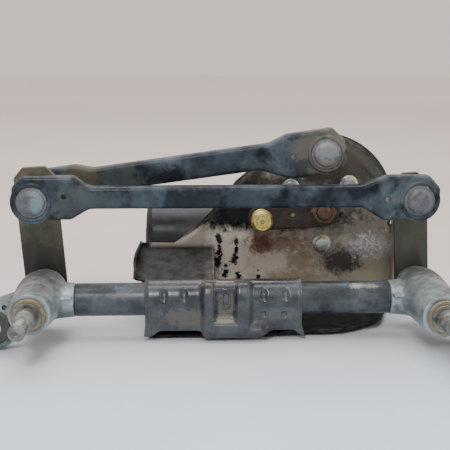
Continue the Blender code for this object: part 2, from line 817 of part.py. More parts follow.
def make_bracket():
    """The pressed bracket: an upright wall behind the links, a base and a scoop on the left."""
    left, right = -61.0, HUB_X + ARC_RADIUS
    crest = arc(HUB_X, HUB_Z, ARC_RADIUS, -14.0, 128.0, 22)
    outline = [(left, 1.0), (right, 1.0), (right, 60.0), *crest]
    outline += [(4.7, 93.5), (-24.0, 60.5), (-45.4, 44.3), (left, 40.7)]
    wall = plate("motor_bracket", outline, WALL_Y, WALL_Y + SHEET)
    base_corners = [
        (BASE_LEFT, BASE_FRONT, 6.0),
        (74.0, BASE_FRONT + 1.0, 40.0),
        (104.0, BASE_FRONT + 21.0, 24.0),
        (115.0, BASE_FRONT + 52.0, 24.0),
        (116.0, BASE_BACK, 12.0),
        (BASE_LEFT, BASE_BACK, 12.0),
    ]
    base = plate("bracket_base", rounded(base_corners, 5), 0.0, SHEET, plane="XY")
    dish = turned(
        "bracket_dish",
        [
            (0.0, WALL_Y + 1.0),
            (48.5, WALL_Y + 1.0),
            (48.5, WALL_Y),
            (46.5, WALL_Y - 1.5),
            (0.0, WALL_Y - 1.5),
        ],
        along("Y", x=HUB_X, z=HUB_Z),
    )
    flange = box("bracket_flange", (right - 0.5, WALL_Y - 9.0, 20.0), (right + 2.0, WALL_Y + SHEET, 54.0))
    slope = [(WALL_Y + 1.0, 46.0), (54.0, 40.5), (40.0, 34.0), (31.0, 31.4)]
    section = [*slope, *[(y - 0.6, z - SHEET) for y, z in reversed(slope)]]
    scoop = plate("bracket_scoop", section, -66.0, -12.0, plane="YZ")
    lip = swept("bracket_lip", [(-66.5, 31.0, 30.4), (-30.0, 31.0, 30.2), (-12.0, 31.0, 30.0)], 2.0)
    cheek_outline = [
        (WALL_Y + 1.0, 47.0), (WALL_Y + 1.0, 27.0), (34.0, 27.0), (30.0, 30.0), (40.0, 38.0), (52.0, 44.0)
    ]
    cheek = plate("bracket_cheek", cheek_outline, -67.0, -64.6, plane="YZ")
    fuse(wall, base, dish, flange, scoop, cheek, lip)
    cut(
        wall,
        disc(
            "bracket_hub_hole", 14.6, WALL_Y - 3.0, WALL_Y + 4.0, along("Y", x=HUB_X, z=HUB_Z), steps=ROUND
        ),
    )
    for index, (x, z) in enumerate(bolt_places()):
        cut(
            wall,
            disc(
                f"bracket_bolt_hole_{index}",
                3.4,
                WALL_Y - 3.0,
                WALL_Y + 4.0,
                along("Y", x=x, z=z),
                steps=TINY,
            ),
        )
    give(wall, "dusty_paint")


def bolt_places():
    return [
        (HUB_X + BOLT_CIRCLE * cos(radians(turn)), HUB_Z + BOLT_CIRCLE * sin(radians(turn)))
        for turn in BOLT_ANGLES
    ]


def make_mount_bolts():
    for index, (x, z) in enumerate(bolt_places()):
        place = along("Y", x=x, z=z)
        seat = WALL_Y - 1.5 - GAP
        profile = [
            (0.0, 81.0),
            (2.4, 81.0),
            (3.0, 80.2),
            (3.0, seat),
            (6.6, seat),
            (6.6, seat - 1.0),
            (0.0, seat - 1.0),
        ]
        bolt = turned(f"motor_mount_bolt_{index + 1}", profile, place, steps=TINY)
        fuse(bolt, hexagon(f"bolt_head_{index + 1}", 10.0, seat - 5.6, seat - 0.5, place))
        give(bolt, "bright_zinc")


def make_tube_clamp():
    """A pressed saddle over the tube, with a foot on the base behind it and a hump in front."""
    inner, outer = TUBE_RADIUS + GAP, TUBE_RADIUS + GAP + 2.0
    over = arc(0.0, TUBE_Z, outer, 180.0, 0.0, 14)
    under = arc(0.0, TUBE_Z, inner, 0.0, 180.0, 14)
    foot = SHEET + GAP
    section = [
        (-outer, 9.5), *over, (outer, foot + 2.0), (24.0, foot + 2.0), (24.0, foot), (inner, foot), *under
    ]
    section.append((-inner, 9.5))
    clamp = plate("tube_clamp", section, -57.8, 44.8, plane="YZ")
    ribs = [
        swept("clamp_rib_left", [(-16.2, -12.6, 36.0), (-16.2, -14.0, 30.0), (-16.2, -14.4, 12.0)], 3.6),
        swept("clamp_rib_right", [(6.2, -12.6, 36.0), (6.2, -14.0, 30.0), (6.2, -14.4, 12.0)], 3.6),
    ]
    bulge_corners = [
        (-15.6, 9.0, 0.0), (-13.4, 4.4, 1.0), (-8.0, foot, 1.0), (-5.6, foot, 0.0), (-5.6, foot + 2.2, 0.0)
    ]
    bulge_corners += [(-10.5, 7.4, 1.0), (-11.6, 14.0, 0.0), (-15.6, 14.0, 0.0)]
    bulge = plate("clamp_bulge", rounded(bulge_corners, 3), -20.4, 20.0, plane="YZ")
    fuse(clamp, *ribs, bulge)
    slot = plate("clamp_slot", rounded(slot_corners(-5.1, 27.0, 3.6, 8.6), 4), -20.0, -12.4)
    cut(clamp, slot)
    give(clamp, "blue_black_paint")


def slot_corners(x, z, width, height):
    half_w, half_h = width / 2, height / 2
    radius = half_w * 0.98
    return [
        (x - half_w, z - half_h, radius),
        (x + half_w, z - half_h, radius),
        (x + half_w, z + half_h, radius),
        (x - half_w, z + half_h, radius),
    ]


# Gear housing


def make_gear_housing():
    hub = along("Y", x=HUB_X, z=HUB_Z)
    worm = along("X", y=WORM_Y, z=WORM_Z)
    housing = disc("gear_housing", 32.0, CAVITY_FRONT - 3.0, HOUSING_BACK, hub, steps=ROUND)
    boss = disc(
        "housing_boss", 13.8, MOTOR_ARM_FRONT + CRANK_THICK + 2.5, CAVITY_FRONT - 1.0, hub, steps=ROUND
    )
    worm_tube = disc("housing_worm_tube", 10.9, 28.0, 99.0, worm, steps=SMALL)
    can_flange = disc(
        "housing_can_flange", CAN_RADIUS, CAN_RIGHT + GAP, CAN_RIGHT + GAP + 3.5, worm, steps=ROUND
    )
    block = box("housing_block", (34.0, CAVITY_FRONT - 3.0, 38.0), (99.0, HOUSING_BACK, 66.0))
    bosses = [
        disc(
            f"housing_bolt_boss_{index}",
            6.4,
            HOUSING_FRONT,
            CAVITY_FRONT - 1.0,
            along("Y", x=x, z=z),
            steps=TINY,
        )
        for index, (x, z) in enumerate(bolt_places())
    ]
    fuse(housing, boss, worm_tube, can_flange, block, *bosses)
    cavity = disc("housing_wheel_cavity", CAVITY_WHEEL, CAVITY_FRONT, HOUSING_BACK + 2.0, hub, steps=ROUND)
    worm_bore = disc("housing_worm_bore", 7.0, CAN_RIGHT - 2.0, 95.0, worm, steps=SMALL)
    shaft_bore = disc("housing_shaft_bore", 8.8, 55.0, CAVITY_FRONT + 1.0, hub, steps=SMALL)
    cut(housing, cavity, worm_bore, shaft_bore)
    for index, (x, z) in enumerate(bolt_places()):
        cut(
            housing,
            disc(
                f"housing_bolt_hole_{index}",
                3.3,
                HOUSING_FRONT - 1.0,
                84.0,
                along("Y", x=x, z=z),
                steps=TINY,
            ),
        )
    for index, (x, z) in enumerate(cover_screw_places()):
        place = along("Y", x=x, z=z)
        cut(housing, disc(f"housing_screw_hole_{index}", 1.8, 104.0, HOUSING_BACK + 1.0, place, steps=8))
    for index, (y, z) in enumerate(can_screw_places()):
        place = along("X", y=y, z=z)
        cut(housing, disc(f"housing_can_hole_{index}", 1.8, CAN_RIGHT - 1.0, CAN_RIGHT + 6.0, place, steps=8))
    give(housing, "grey_casting")


def cover_screw_places():
    round_rim = (HUB_X, HUB_Z + 30.0)
    return [round_rim, (37.5, 56.0), (96.0, 56.0)]


def can_screw_places():
    return [(WORM_Y, WORM_Z + 24.6), (WORM_Y, WORM_Z - 24.6)]


def make_gear_cover():
    low, high = HOUSING_BACK + GAP, HOUSING_BACK + GAP + 2.4
    crest = arc(HUB_X, HUB_Z, 32.0, -10.0, 190.0, 24)
    outline = [(34.0, 38.0), (99.0, 38.0), *crest]
    cover = plate("gear_cover", outline, low, high)
    dome = turned(
        "cover_dome",
        [(0.0, high + 1.8), (13.0, high + 1.8), (15.0, high - 0.5), (0.0, high - 0.5)],
        along("Y", x=HUB_X, z=HUB_Z),
        steps=ROUND,
    )
    fuse(cover, dome)
    for index, (x, z) in enumerate(cover_screw_places()):
        cut(cover, disc(f"cover_hole_{index}", 1.9, low - 1.0, high + 1.0, along("Y", x=x, z=z), steps=8))
    give(cover, "black_plastic")

    seat = high + GAP
    profile = [
        (0.0, seat + 2.2),
        (2.8, seat + 2.2),
        (3.4, seat + 1.2),
        (3.4, seat),
        (1.5, seat),
        (1.5, 105.0),
        (0.0, 105.0),
    ]
    for index, (x, z) in enumerate(cover_screw_places()):
        screw = turned(f"gear_cover_screw_{index + 1}", profile, along("Y", x=x, z=z), steps=TINY)
        give(screw, "bright_zinc")

    strip = box("park_contacts", (HUB_X - 12.0, 104.2, HUB_Z + 19.0), (HUB_X + 12.0, low - GAP, HUB_Z + 22.0))
    for index, x in enumerate((-10.0, 0.0, 10.0)):
        fuse(
            strip,
            box(
                f"finger_{index}",
                (HUB_X + x - 1.2, 103.9, HUB_Z + 9.0),
                (HUB_X + x + 1.2, 104.5, HUB_Z + 20.0),
            ),
        )
    give(strip, "copper")


def make_connector():
    """The plug inlet on the gear cover, open upwards, with its blades."""
    low = HOUSING_BACK + GAP + 2.4 + GAP
    back = low + 13.0
    left, right = CONNECTOR_X - 13.0, CONNECTOR_X + 13.0
    floor = CONNECTOR_Z + 5.0
    shell = box("connector_socket", (left, low, CONNECTOR_Z), (right, back, CONNECTOR_Z + 20.0))
    cut(
        shell,
        box(
            "connector_cavity",
            (left + 2.0, low + 2.0, floor),
            (right - 2.0, back - 2.0, CONNECTOR_Z + 21.0),
        ),
    )
    middle = (low + back) / 2
    for index, x in enumerate((CONNECTOR_X - 4.5, CONNECTOR_X + 4.5)):
        slot = box(
            f"blade_slot_{index}",
            (x - 1.8, middle - 0.8, floor - 3.0),
            (x + 1.8, middle + 0.8, floor + 1.0),
        )
        cut(shell, slot)
        top = CONNECTOR_Z + 14.0
        blade = box(
            f"connector_blade_{index + 1}", (x - 1.5, middle - 0.4, floor - 2.7), (x + 1.5, middle + 0.4, top)
        )
        give(blade, "copper")
    give(shell, "black_plastic")


# Motor


def make_motor_can():
    axis = along("X", y=WORM_Y, z=WORM_Z)
    inner = CAN_RADIUS - CAN_WALL
    profile = [
        (0.0, CAN_LEFT + CAN_WALL),
        (inner - 4.0, CAN_LEFT + CAN_WALL),
        (inner, CAN_LEFT + 6.0),
        (inner, CAN_RIGHT),
        (CAN_RADIUS, CAN_RIGHT),
        (CAN_RADIUS, CAN_LEFT + 6.0),
        (CAN_RADIUS - 1.6, CAN_LEFT + 2.0),
        (CAN_RADIUS - 5.0, CAN_LEFT),
        (0.0, CAN_LEFT),
    ]
    give(turned("motor_can", profile, axis, steps=ROUND), "black_paint")

    for index, (y, z) in enumerate(can_screw_places()):
        place = along("X", y=y, z=z)
        head = CAN_RIGHT + 3.5 + 2 * GAP
        profile = [(0.0, head + 2.2), (2.6, head + 2.2), (3.0, head), (1.5, head), (1.5, CAN_RIGHT - 8.0)]
        profile.append((0.0, CAN_RIGHT - 8.0))
        give(turned(f"motor_screw_{index + 1}", profile, place, steps=TINY), "bright_zinc")

    for index, middle in enumerate((0.0, 180.0)):
        outside = arc(WORM_Y, WORM_Z, inner - 2 * GAP, middle - 55.0, middle + 55.0, 10)
        inside = arc(WORM_Y, WORM_Z, inner - 5.5, middle + 55.0, middle - 55.0, 10)
        give(plate(f"magnet_{index + 1}", [*outside, *inside], -44.0, 4.0, plane="YZ"), "magnet_ferrite")

    holder = ring("brush_holder", 11.0, inner - 2 * GAP, 17.6, 19.6, axis, steps=ROUND)
    for index, (y, z) in enumerate(can_screw_places()):
        cut(holder, disc(f"holder_hole_{index}", 2.2, 16.0, 21.0, along("X", y=y, z=z), steps=8))
    give(holder, "black_plastic")
    for index, (low, high) in enumerate(((-19.0, -9.9), (9.9, 19.0))):
        brush = box(
            f"carbon_brush_{index + 1}",
            (12.5, WORM_Y + low, WORM_Z - 3.0),
            (17.2, WORM_Y + high, WORM_Z + 3.0),
        )
        give(brush, "carbon")
    ends = (CAN_LEFT + CAN_WALL + GAP, CAN_LEFT + CAN_WALL + 7.0)
    give(ring("armature_bush", 3.2, 7.0, *ends, axis, steps=SMALL), "bronze")


def make_output_bush():
    place = along("Y", x=HUB_X, z=HUB_Z)
    bush = ring(
        "output_bush",
        BUSH_INNER,
        8.5,
        MOTOR_ARM_FRONT + CRANK_THICK + 3.0,
        CAVITY_FRONT - 0.5,
        place,
        steps=SMALL,
    )
    give(bush, "bronze")


def make_armature():
    axis = add_axis("armature_axis", 0.0, WORM_Y, WORM_Z)
    place = along("X")
    shaft_radius = 3.0
    root = WORM_RADIUS - 1.15 * MODULE
    profile = [
        (0.0, 92.7),
        (shaft_radius, 92.7),
        (shaft_radius, 84.0),
        (root, 83.0),
        (root, 52.0),
        (shaft_radius, 51.0),
        (shaft_radius, CAN_LEFT + 3.0),
        (0.0, CAN_LEFT + 3.0),
    ]
    shaft = turned("armature_shaft", profile, place, axis, steps=SMALL)
    fuse(shaft, worm_thread(axis))
    give(shaft, "dark_steel")

    poles, core_radius, slot_radius = 6, 20.0, 10.0
    outline = []
    for pole in range(poles):
        middle = 360.0 / poles * pole
        outline += arc(0.0, 0.0, core_radius, middle - 19.0, middle + 19.0, 4)
        for radius, turn in ((core_radius - 2.2, 19.0), (core_radius - 3.4, 9.0), (slot_radius, 10.0)):
            outline.append((radius * cos(radians(middle + turn)), radius * sin(radians(middle + turn))))
        follow = middle + 360.0 / poles
        for radius, turn in ((slot_radius, -10.0), (core_radius - 3.4, -9.0), (core_radius - 2.2, -19.0)):
            outline.append((radius * cos(radians(follow + turn)), radius * sin(radians(follow + turn))))
    core = plate("armature_core", outline, -40.0, 0.0, plane="YZ", parent=axis)
    cut(core, disc("core_bore", shaft_radius + GAP, -42.0, 2.0, place, axis, steps=TINY))
    give(core, "dark_steel")
    windings = turned("armature_windings", winding_profile(-50.0, -40.3), place, axis, steps=SMALL)
    fuse(windings, turned("winding_front", winding_profile(0.3, 9.0), place, axis, steps=SMALL))
    for pole in range(poles):
        turn = 2 * pi * (pole + 0.5) / poles
        bar = disc(
            f"winding_bar_{pole}",
            2.0,
            -42.0,
            2.0,
            along("X", y=13.2 * cos(turn), z=13.2 * sin(turn)),
            axis,
            8,
        )
        fuse(windings, bar)
    give(windings, "copper")
    give(ring("commutator", shaft_radius + GAP, 9.5, 10.0, 17.0, place, axis, steps=SMALL), "copper")


def winding_profile(low, high):
    """The section of one bundle of end turns."""
    return [(12.0, high), (17.0, high - 3.0), (17.0, low + 3.0), (12.0, low), (4.0, low), (4.0, high)]


def worm_thread(axis):
    """The worm's helical ridge, with a ridge in the gear's gap at the contact."""
    turns, per_turn = 5, 12
    root = WORM_RADIUS - 1.4 * MODULE
    tip = WORM_RADIUS + 0.8 * MODULE
    start_x = HUB_X - WORM_PITCH * (turns // 2 + 0.25)
    half_root, half_tip = WORM_PITCH * (TOOTH_SHARE / 2 + 0.09), WORM_PITCH * (TOOTH_SHARE / 2 - 0.06)
    bm = bmesh.new()
    section = ((root, -half_root), (tip, -half_tip), (tip, half_tip), (root, half_root))
    corners = [bm.verts.new(((start_x + x) * MM, radius * MM, 0.0)) for radius, x in section]
    face = bm.faces.new(corners)
    bmesh.ops.spin(
        bm,
        geom=[face],
        axis=(1.0, 0.0, 0.0),
        cent=(0.0, 0.0, 0.0),
        dvec=(WORM_PITCH / per_turn * MM, 0.0, 0.0),
        angle=2 * pi * turns,
        steps=turns * per_turn,
        use_duplicate=False,
    )
    bmesh.ops.remove_doubles(bm, verts=bm.verts, dist=0.000001)
    return add_object("worm_thread", mesh_of(bm, "worm_thread"), axis)


clear_scene()
ASSEMBLY = new_collection("windshield_wiper_assembly")
HELPERS = new_collection("cutters_and_joined_shapes")

make_tube()
make_bracket()
make_tube_clamp()
make_mount_bolts()
for SIDE in ("left", "right"):
    make_pivot_housing(SIDE)
    make_bush(SIDE)
    make_ear_parts(SIDE)
    make_rocker(SIDE)
make_front_link()
make_motor_link()
make_motor_crank()
make_gear_housing()
make_output_bush()
make_gear_cover()
make_connector()
make_motor_can()
make_armature()
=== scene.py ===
"""Looks of the twin-spindle windshield wiper assembly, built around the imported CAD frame.

Lengths are in millimetres until a mesh is made. X runs along the tube, Y towards the motor, Z up.
"""

from math import asin, atan2, cos, degrees, hypot, pi, radians, sin, tan

import bmesh
import bpy
import numpy as np
from mathutils import Matrix, Vector
from mathutils.geometry import tessellate_polygon


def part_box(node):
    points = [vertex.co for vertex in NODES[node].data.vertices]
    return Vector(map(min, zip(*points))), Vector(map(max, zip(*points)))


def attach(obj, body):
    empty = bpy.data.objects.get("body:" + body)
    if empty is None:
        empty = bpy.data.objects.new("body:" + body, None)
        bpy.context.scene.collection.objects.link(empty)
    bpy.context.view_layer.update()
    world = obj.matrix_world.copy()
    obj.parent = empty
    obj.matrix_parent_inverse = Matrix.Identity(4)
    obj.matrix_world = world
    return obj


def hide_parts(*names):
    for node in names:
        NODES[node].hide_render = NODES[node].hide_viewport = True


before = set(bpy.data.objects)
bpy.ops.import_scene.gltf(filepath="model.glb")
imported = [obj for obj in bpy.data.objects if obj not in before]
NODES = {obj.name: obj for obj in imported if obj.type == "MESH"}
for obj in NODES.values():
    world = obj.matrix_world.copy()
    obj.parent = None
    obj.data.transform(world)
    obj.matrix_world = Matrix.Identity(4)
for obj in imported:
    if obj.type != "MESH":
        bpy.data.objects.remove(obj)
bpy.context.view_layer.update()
MM = 0.001
SHARP = 38.0  # degrees between faces from which an edge is drawn sharp
MERGE = 0.0005  # points closer than this become one


def centre(node):
    """The middle of a CAD node's box, in millimetres."""
    low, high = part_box(node)
    return (low + high) / 2 / MM


def span(node, axis):
    """The lowest and highest place of a CAD node along X, Y or Z, in millimetres."""
    low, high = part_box(node)
    index = "XYZ".index(axis)
    return low[index] / MM, high[index] / MM


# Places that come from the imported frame
TUBE_Z = centre("frame_tube").z
TUBE_END = span("frame_tube", "X")[1]
TUBE_RADIUS = (span("frame_tube", "Z")[1] - span("frame_tube", "Z")[0]) / 2
PIVOT = {side: centre(f"{side}_thrust_washer") for side in ("left", "right")}
FRONT_FACE = {side: span(f"{side}_pivot_housing", "Y")[0] for side in ("left", "right")}
HOUSING_REAR = span("left_pivot_housing", "Y")[1]
EAR = {side: centre(f"{side}_ear_sleeve") for side in ("left", "right")}
HUB = centre("output_shaft")
LEFT_BALL = centre("left_double_ball_stud")
RIGHT_BALL = centre("right_ball_stud")
MOTOR_BALL = centre("motor_crank_ball_stud")
CAN = centre("motor_can")
CAN_RADIUS = (span("motor_can", "Z")[1] - span("motor_can", "Z")[0]) / 2
CRANK_LEAN = radians(-3.6)
CRANK_RADIUS = 62.7
BALL_RADIUS = 8.0
FRONT_BALL_Y = 11.5
REAR_BALL_Y = 33.0
ARM_FRONT, ARM_BACK = 20.0, 24.0  # faces of the rockers' arms
ARM_RECESS = (19.7, 24.3)  # how near the pieces on either side of an arm come to it
WALL_Y = 66.0
SHEET = 2.5
ARC_RADIUS = 55.2  # the bracket's rolled rim, round the hub


# Meshes


def along(axis, x=0.0, y=0.0, z=0.0):
    """The matrix that lays local Z along the named axis, with its origin at x, y, z."""
    turns = {
        "X": Matrix.Rotation(pi / 2, 4, "Y"), "Y": Matrix.Rotation(-pi / 2, 4, "X"),
        "Z": Matrix.Identity(4),
    }
    return Matrix.Translation((x, y, z)) @ turns[axis]


def build(name, points, faces, place=None, sharp=SHARP):
    """A new object from points in millimetres."""
    mesh = bpy.data.meshes.new(name)
    mesh.from_pydata([tuple(p) for p in points], [], faces)
    bm = bmesh.new()
    bm.from_mesh(mesh)
    bmesh.ops.remove_doubles(bm, verts=bm.verts, dist=MERGE)
    bmesh.ops.dissolve_degenerate(bm, edges=bm.edges, dist=MERGE)
    bmesh.ops.recalc_face_normals(bm, faces=bm.faces)
    bmesh.ops.transform(bm, matrix=Matrix.Scale(MM, 4) @ (place or Matrix.Identity(4)), verts=bm.verts)
    bm.to_mesh(mesh)
    bm.free()
    mesh.shade_smooth()
    mesh.set_sharp_from_angle(angle=radians(sharp))
    obj = bpy.data.objects.new(name, mesh)
    bpy.context.scene.collection.objects.link(obj)
    return obj


def filleted(points, closed, count=3):
    """A profile with each corner rounded. A point is (x, y) or (x, y, radius)."""
    line = []
    for i, point in enumerate(points):
        here = Vector(point[:2])
        radius = point[2] if len(point) > 2 else 0.3
        if radius <= 0.0 or (not closed and i in (0, len(points) - 1)):
            line.append(tuple(here))
            continue
        before = Vector(points[i - 1][:2]) - here
        after = Vector(points[(i + 1) % len(points)][:2]) - here
        corner = before.angle(after)
        if corner > radians(174):
            line.append(tuple(here))
            continue
        length = min(radius / tan(corner / 2), 0.45 * before.length, 0.45 * after.length)
        start, end = here + before.normalized() * length, here + after.normalized() * length
        for step in range(count + 1):
            t = step / count
            line.append(tuple((1 - t) ** 2 * start + 2 * t * (1 - t) * here + t * t * end))
    return line


def lathe_mesh(points, steps=64, count=3, relief=None, spacing=0.4):
    """Points and faces of a turned solid about local Z. The profile's points are (radius, height).

    relief is (low, high, function of height and angle), which is added to the radius between low and high.
    """
    closed = points[0][0] > 0.0
    profile = filleted(points, closed, count)
    if relief:
        low, high, _ = relief
        fine = []
        for first, second in zip(profile, profile[1:]):
            fine.append(first)
            inside = min(first[1], second[1]) >= low - 0.01 and max(first[1], second[1]) <= high + 0.01
            parts = int(abs(second[1] - first[1]) / spacing) if inside else 0
            for part in range(1, parts):
                share = part / parts
                fine.append(tuple(a + (b - a) * share for a, b in zip(first, second)))
        profile = [*fine, profile[-1]]
    rows = []
    for radius, height in profile:
        for step in range(steps):
            turn = 2 * pi * step / steps
            r = radius
            if relief and relief[0] <= height <= relief[1]:
                r += relief[2](height, turn)
            rows.append((r * cos(turn), r * sin(turn), height))
    faces = []
    last = len(profile) if closed else len(profile) - 1
    for row in range(last):
        following = (row + 1) % len(profile)
        for step in range(steps):
            turn = (step + 1) % steps
            faces.append(
                (row * steps + step, row * steps + turn, following * steps + turn, following * steps + step)
            )
    return rows, faces


def lathe(name, points, place, steps=64, **more):
    rows, faces = lathe_mesh(points, steps, **more)
    return build(name, rows, faces, place)


def drum(radius, low, high):
    """The profile of a plain cylinder."""
    return [(0.0, low), (radius, low), (radius, high), (0.0, high)]


def thread(pitch, height, lift):
    """The relief of a screw thread, for lathe."""
    return lambda z, turn: height * abs(2 * ((z / pitch + turn / (2 * pi)) % 1.0) - 1.0) - lift


def tube_between(name, inner, outer, low, high, place, steps=64, fillet=0.3):
    corners = [(outer, high), (outer, low), (inner, low), (inner, high)]
    return lathe(name, [(*corner, fillet) for corner in corners], place, steps)


def arc(x, z, radius, start, end, count):
    turns = [radians(start + (end - start) * i / count) for i in range(count + 1)]
    return [(x + radius * cos(turn), z + radius * sin(turn)) for turn in turns]


def hull_outline(x1, z1, r1, x2, z2, r2, count=20):
    """The outline of two circles and the tangents that join them."""
    way = atan2(z2 - z1, x2 - x1)
    side = pi / 2 + asin((r2 - r1) / hypot(x2 - x1, z2 - z1))
    start, end = degrees(way + side), degrees(way - side)
    return arc(x1, z1, r1, start, end + 360, count) + arc(x2, z2, r2, end, start, count)


def rounded(corners, count=6):
    """An outline from corners (x, z, radius), each corner replaced by an arc of that radius."""
    outline = []
    for i, (x, z, radius) in enumerate(corners):
        here = Vector((x, z))
        before = (Vector(corners[i - 1][:2]) - here).normalized()
        after = (Vector(corners[(i + 1) % len(corners)][:2]) - here).normalized()
        if radius <= 0.0:
            outline.append((x, z))
            continue
        half = before.angle(after) / 2
        middle = here + (before + after).normalized() * radius / sin(half)
        first = here + before * radius / tan(half) - middle
        sweep = first.angle_signed(here + after * radius / tan(half) - middle)
        for step in range(count + 1):
            spoke = first.copy()
            spoke.rotate(Matrix.Rotation(-sweep * step / count, 2))
            outline.append(tuple(middle + spoke))
    return outline


def inset(corners, distance):
    """The corners (x, z, radius) of an anticlockwise outline moved inwards by a distance."""
    moved = []
    for i, (x, z, radius) in enumerate(corners):
        here = Vector((x, z))
        arriving = (here - Vector(corners[i - 1][:2])).normalized()
        leaving = (Vector(corners[(i + 1) % len(corners)][:2]) - here).normalized()
        normals = [Vector((-way.y, way.x)) for way in (arriving, leaving)]
        shift = (normals[0] + normals[1]) * distance / (1.0 + normals[0].dot(normals[1]))
        turns_left = arriving.cross(leaving) > 0.0
        moved.append((x + shift.x, z + shift.y, max(radius + (-distance if turns_left else distance), 0.4)))
    return moved


def offset(loop, distance):
    """A closed line of points moved to its left by a small distance."""
    here = np.array(loop, float)
    arriving = here - np.roll(here, 1, axis=0)
    leaving = np.roll(here, -1, axis=0) - here
    arriving /= np.linalg.norm(arriving, axis=1, keepdims=True)
    leaving /= np.linalg.norm(leaving, axis=1, keepdims=True)
    first = np.column_stack((-arriving[:, 1], arriving[:, 0]))
    second = np.column_stack((-leaving[:, 1], leaving[:, 0]))
    dots = (first * second).sum(axis=1, keepdims=True)
    return (here + (first + second) * distance / np.maximum(1.0 + dots, 0.4)).tolist()


def turned_left(loop):
    area = sum(x1 * z2 - x2 * z1 for (x1, z1), (x2, z2) in zip(loop, loop[1:] + loop[:1]))
    return list(loop) if area > 0 else list(reversed(loop))


def layered(name, stacks, plane="XZ", place=None, sharp=SHARP):
    """A solid between two caps. Each stack is one loop's layers, [(loop, height), ...], from cap to cap.

    The first stack is the outer edge and the others are holes.
    """
    points, faces, caps = [], [], ([], [])
    for stack in stacks:
        size = len(stack[0][0])
        start = len(points)
        for loop, height in stack:
            points += [(x, height, z) for x, z in loop]
        for layer in range(len(stack) - 1):
            for i in range(size):
                j = (i + 1) % size
                a, b = start + layer * size, start + (layer + 1) * size
                faces.append((a + i, a + j, b + j, b + i))
        for cap, layer in ((0, 0), (1, len(stack) - 1)):
            caps[cap].append(list(range(start + layer * size, start + (layer + 1) * size)))
    for cap in caps:
        flat = [[Vector((points[i][0], points[i][2], 0.0)) for i in loop] for loop in cap]
        order = [i for loop in cap for i in loop]
        faces += [tuple(order[i] for i in triangle) for triangle in tessellate_polygon(flat)]
    if plane == "YZ":
        points = [(y, x, z) for x, y, z in points]
    elif plane == "XY":
        points = [(x, z, y) for x, y, z in points]
    return build(name, points, faces, place, sharp)


def slab(name, outline, low, high, plane="XZ", place=None, bevel=0.5, holes=(), count=3):
    """A flat plate with rounded edges. holes are closed outlines."""
    loops = [turned_left(outline)] + [list(reversed(turned_left(hole))) for hole in holes]
    stacks = []
    for loop in loops:
        stack = []
        for step in range(count + 1):
            turn = pi / 2 * step / count
            stack.append((offset(loop, bevel * (1 - sin(turn))), low + bevel * (1 - cos(turn))))
        for step in range(count + 1):
            turn = pi / 2 * (1 - step / count)
            stack.append((offset(loop, bevel * (1 - sin(turn))), high - bevel * (1 - cos(turn))))
        stacks.append(stack)
    return layered(name, stacks, plane, place)


def circle(x, z, radius, count=48):
    return [
        (x + radius * cos(2 * pi * i / count), z + radius * sin(2 * pi * i / count))
        for i in range(count)
    ]


def block(name, low, high, bevel=0.5, plane="XZ"):
    (x1, y1, z1), (x2, y2, z2) = low, high
    if plane == "XZ":
        return slab(name, [(x1, z1), (x2, z1), (x2, z2), (x1, z2)], y1, y2, plane, bevel=bevel)
    return slab(name, [(x1, y1), (x2, y1), (x2, y2), (x1, y2)], z1, z2, "XY", bevel=bevel)


def grid_faces(columns, rows):
    """The quads of a sheet whose points are listed column by column."""
    corners = [(c * rows + r, (c + 1) * rows + r) for c in range(columns - 1) for r in range(rows - 1)]
    return [(a, b, b + 1, a + 1) for a, b in corners]


def thickened(obj, thickness, side):
    """A sheet given its thickness: side is -1 for inwards and 0 for both ways."""
    sheet = obj.modifiers.new("sheet", "SOLIDIFY")
    sheet.thickness = thickness * MM
    sheet.offset = side
    return applied(obj)


def smoothed(obj, sharp=SHARP):
    obj.data.shade_smooth()
    obj.data.set_sharp_from_angle(angle=radians(sharp))
    return obj


def applied(obj):
    """The object with its modifiers made part of its mesh."""
    evaluated = obj.evaluated_get(bpy.context.evaluated_depsgraph_get())
    mesh = bpy.data.meshes.new_from_object(evaluated)
    obj.modifiers.clear()
    old = obj.data
    obj.data = mesh
    bpy.data.meshes.remove(old)
    return obj


def boolean(target, operation, *tools):
    for tool in tools:
        modifier = target.modifiers.new("boolean", "BOOLEAN")
        modifier.operation = operation
        modifier.solver = "EXACT"
        modifier.object = tool
    applied(target)
    for tool in tools:
        bpy.data.objects.remove(tool, do_unlink=True)
    return smoothed(target)


def joined(target, *others):
    """The meshes of several objects as one object."""
    bm = bmesh.new()
    for obj in (target, *others):
        bm.from_mesh(obj.data)
    bm.to_mesh(target.data)
    bm.free()
    for obj in others:
        bpy.data.objects.remove(obj, do_unlink=True)
    return smoothed(target)


def cast(name, pieces, voxel=0.8, rounds=6):
    """One skin round several overlapping solids, with soft corners as a casting has."""
    body = joined(*pieces)
    body.name = name
    remesh = body.modifiers.new("remesh", "REMESH")
    remesh.mode = "VOXEL"
    remesh.voxel_size = voxel * MM
    smooth = body.modifiers.new("smooth", "SMOOTH")
    smooth.factor = 0.5
    smooth.iterations = rounds
    applied(body)
    body.data.shade_smooth()
    return body


def distance_inside(x, z, loop):
    """How far points lie from the nearest place on a closed line."""
    nearest = np.full(x.shape, 1e9)
    for (x1, z1), (x2, z2) in zip(loop, loop[1:] + loop[:1]):
        dx, dz = x2 - x1, z2 - z1
        share = np.clip(((x - x1) * dx + (z - z1) * dz) / (dx * dx + dz * dz), 0.0, 1.0)
        nearest = np.minimum(nearest, np.hypot(x - x1 - share * dx, z - z1 - share * dz))
    return nearest


def smoothstep(value, low, high):
    share = np.clip((value - low) / (high - low), 0.0, 1.0)
    return share * share * (3 - 2 * share)


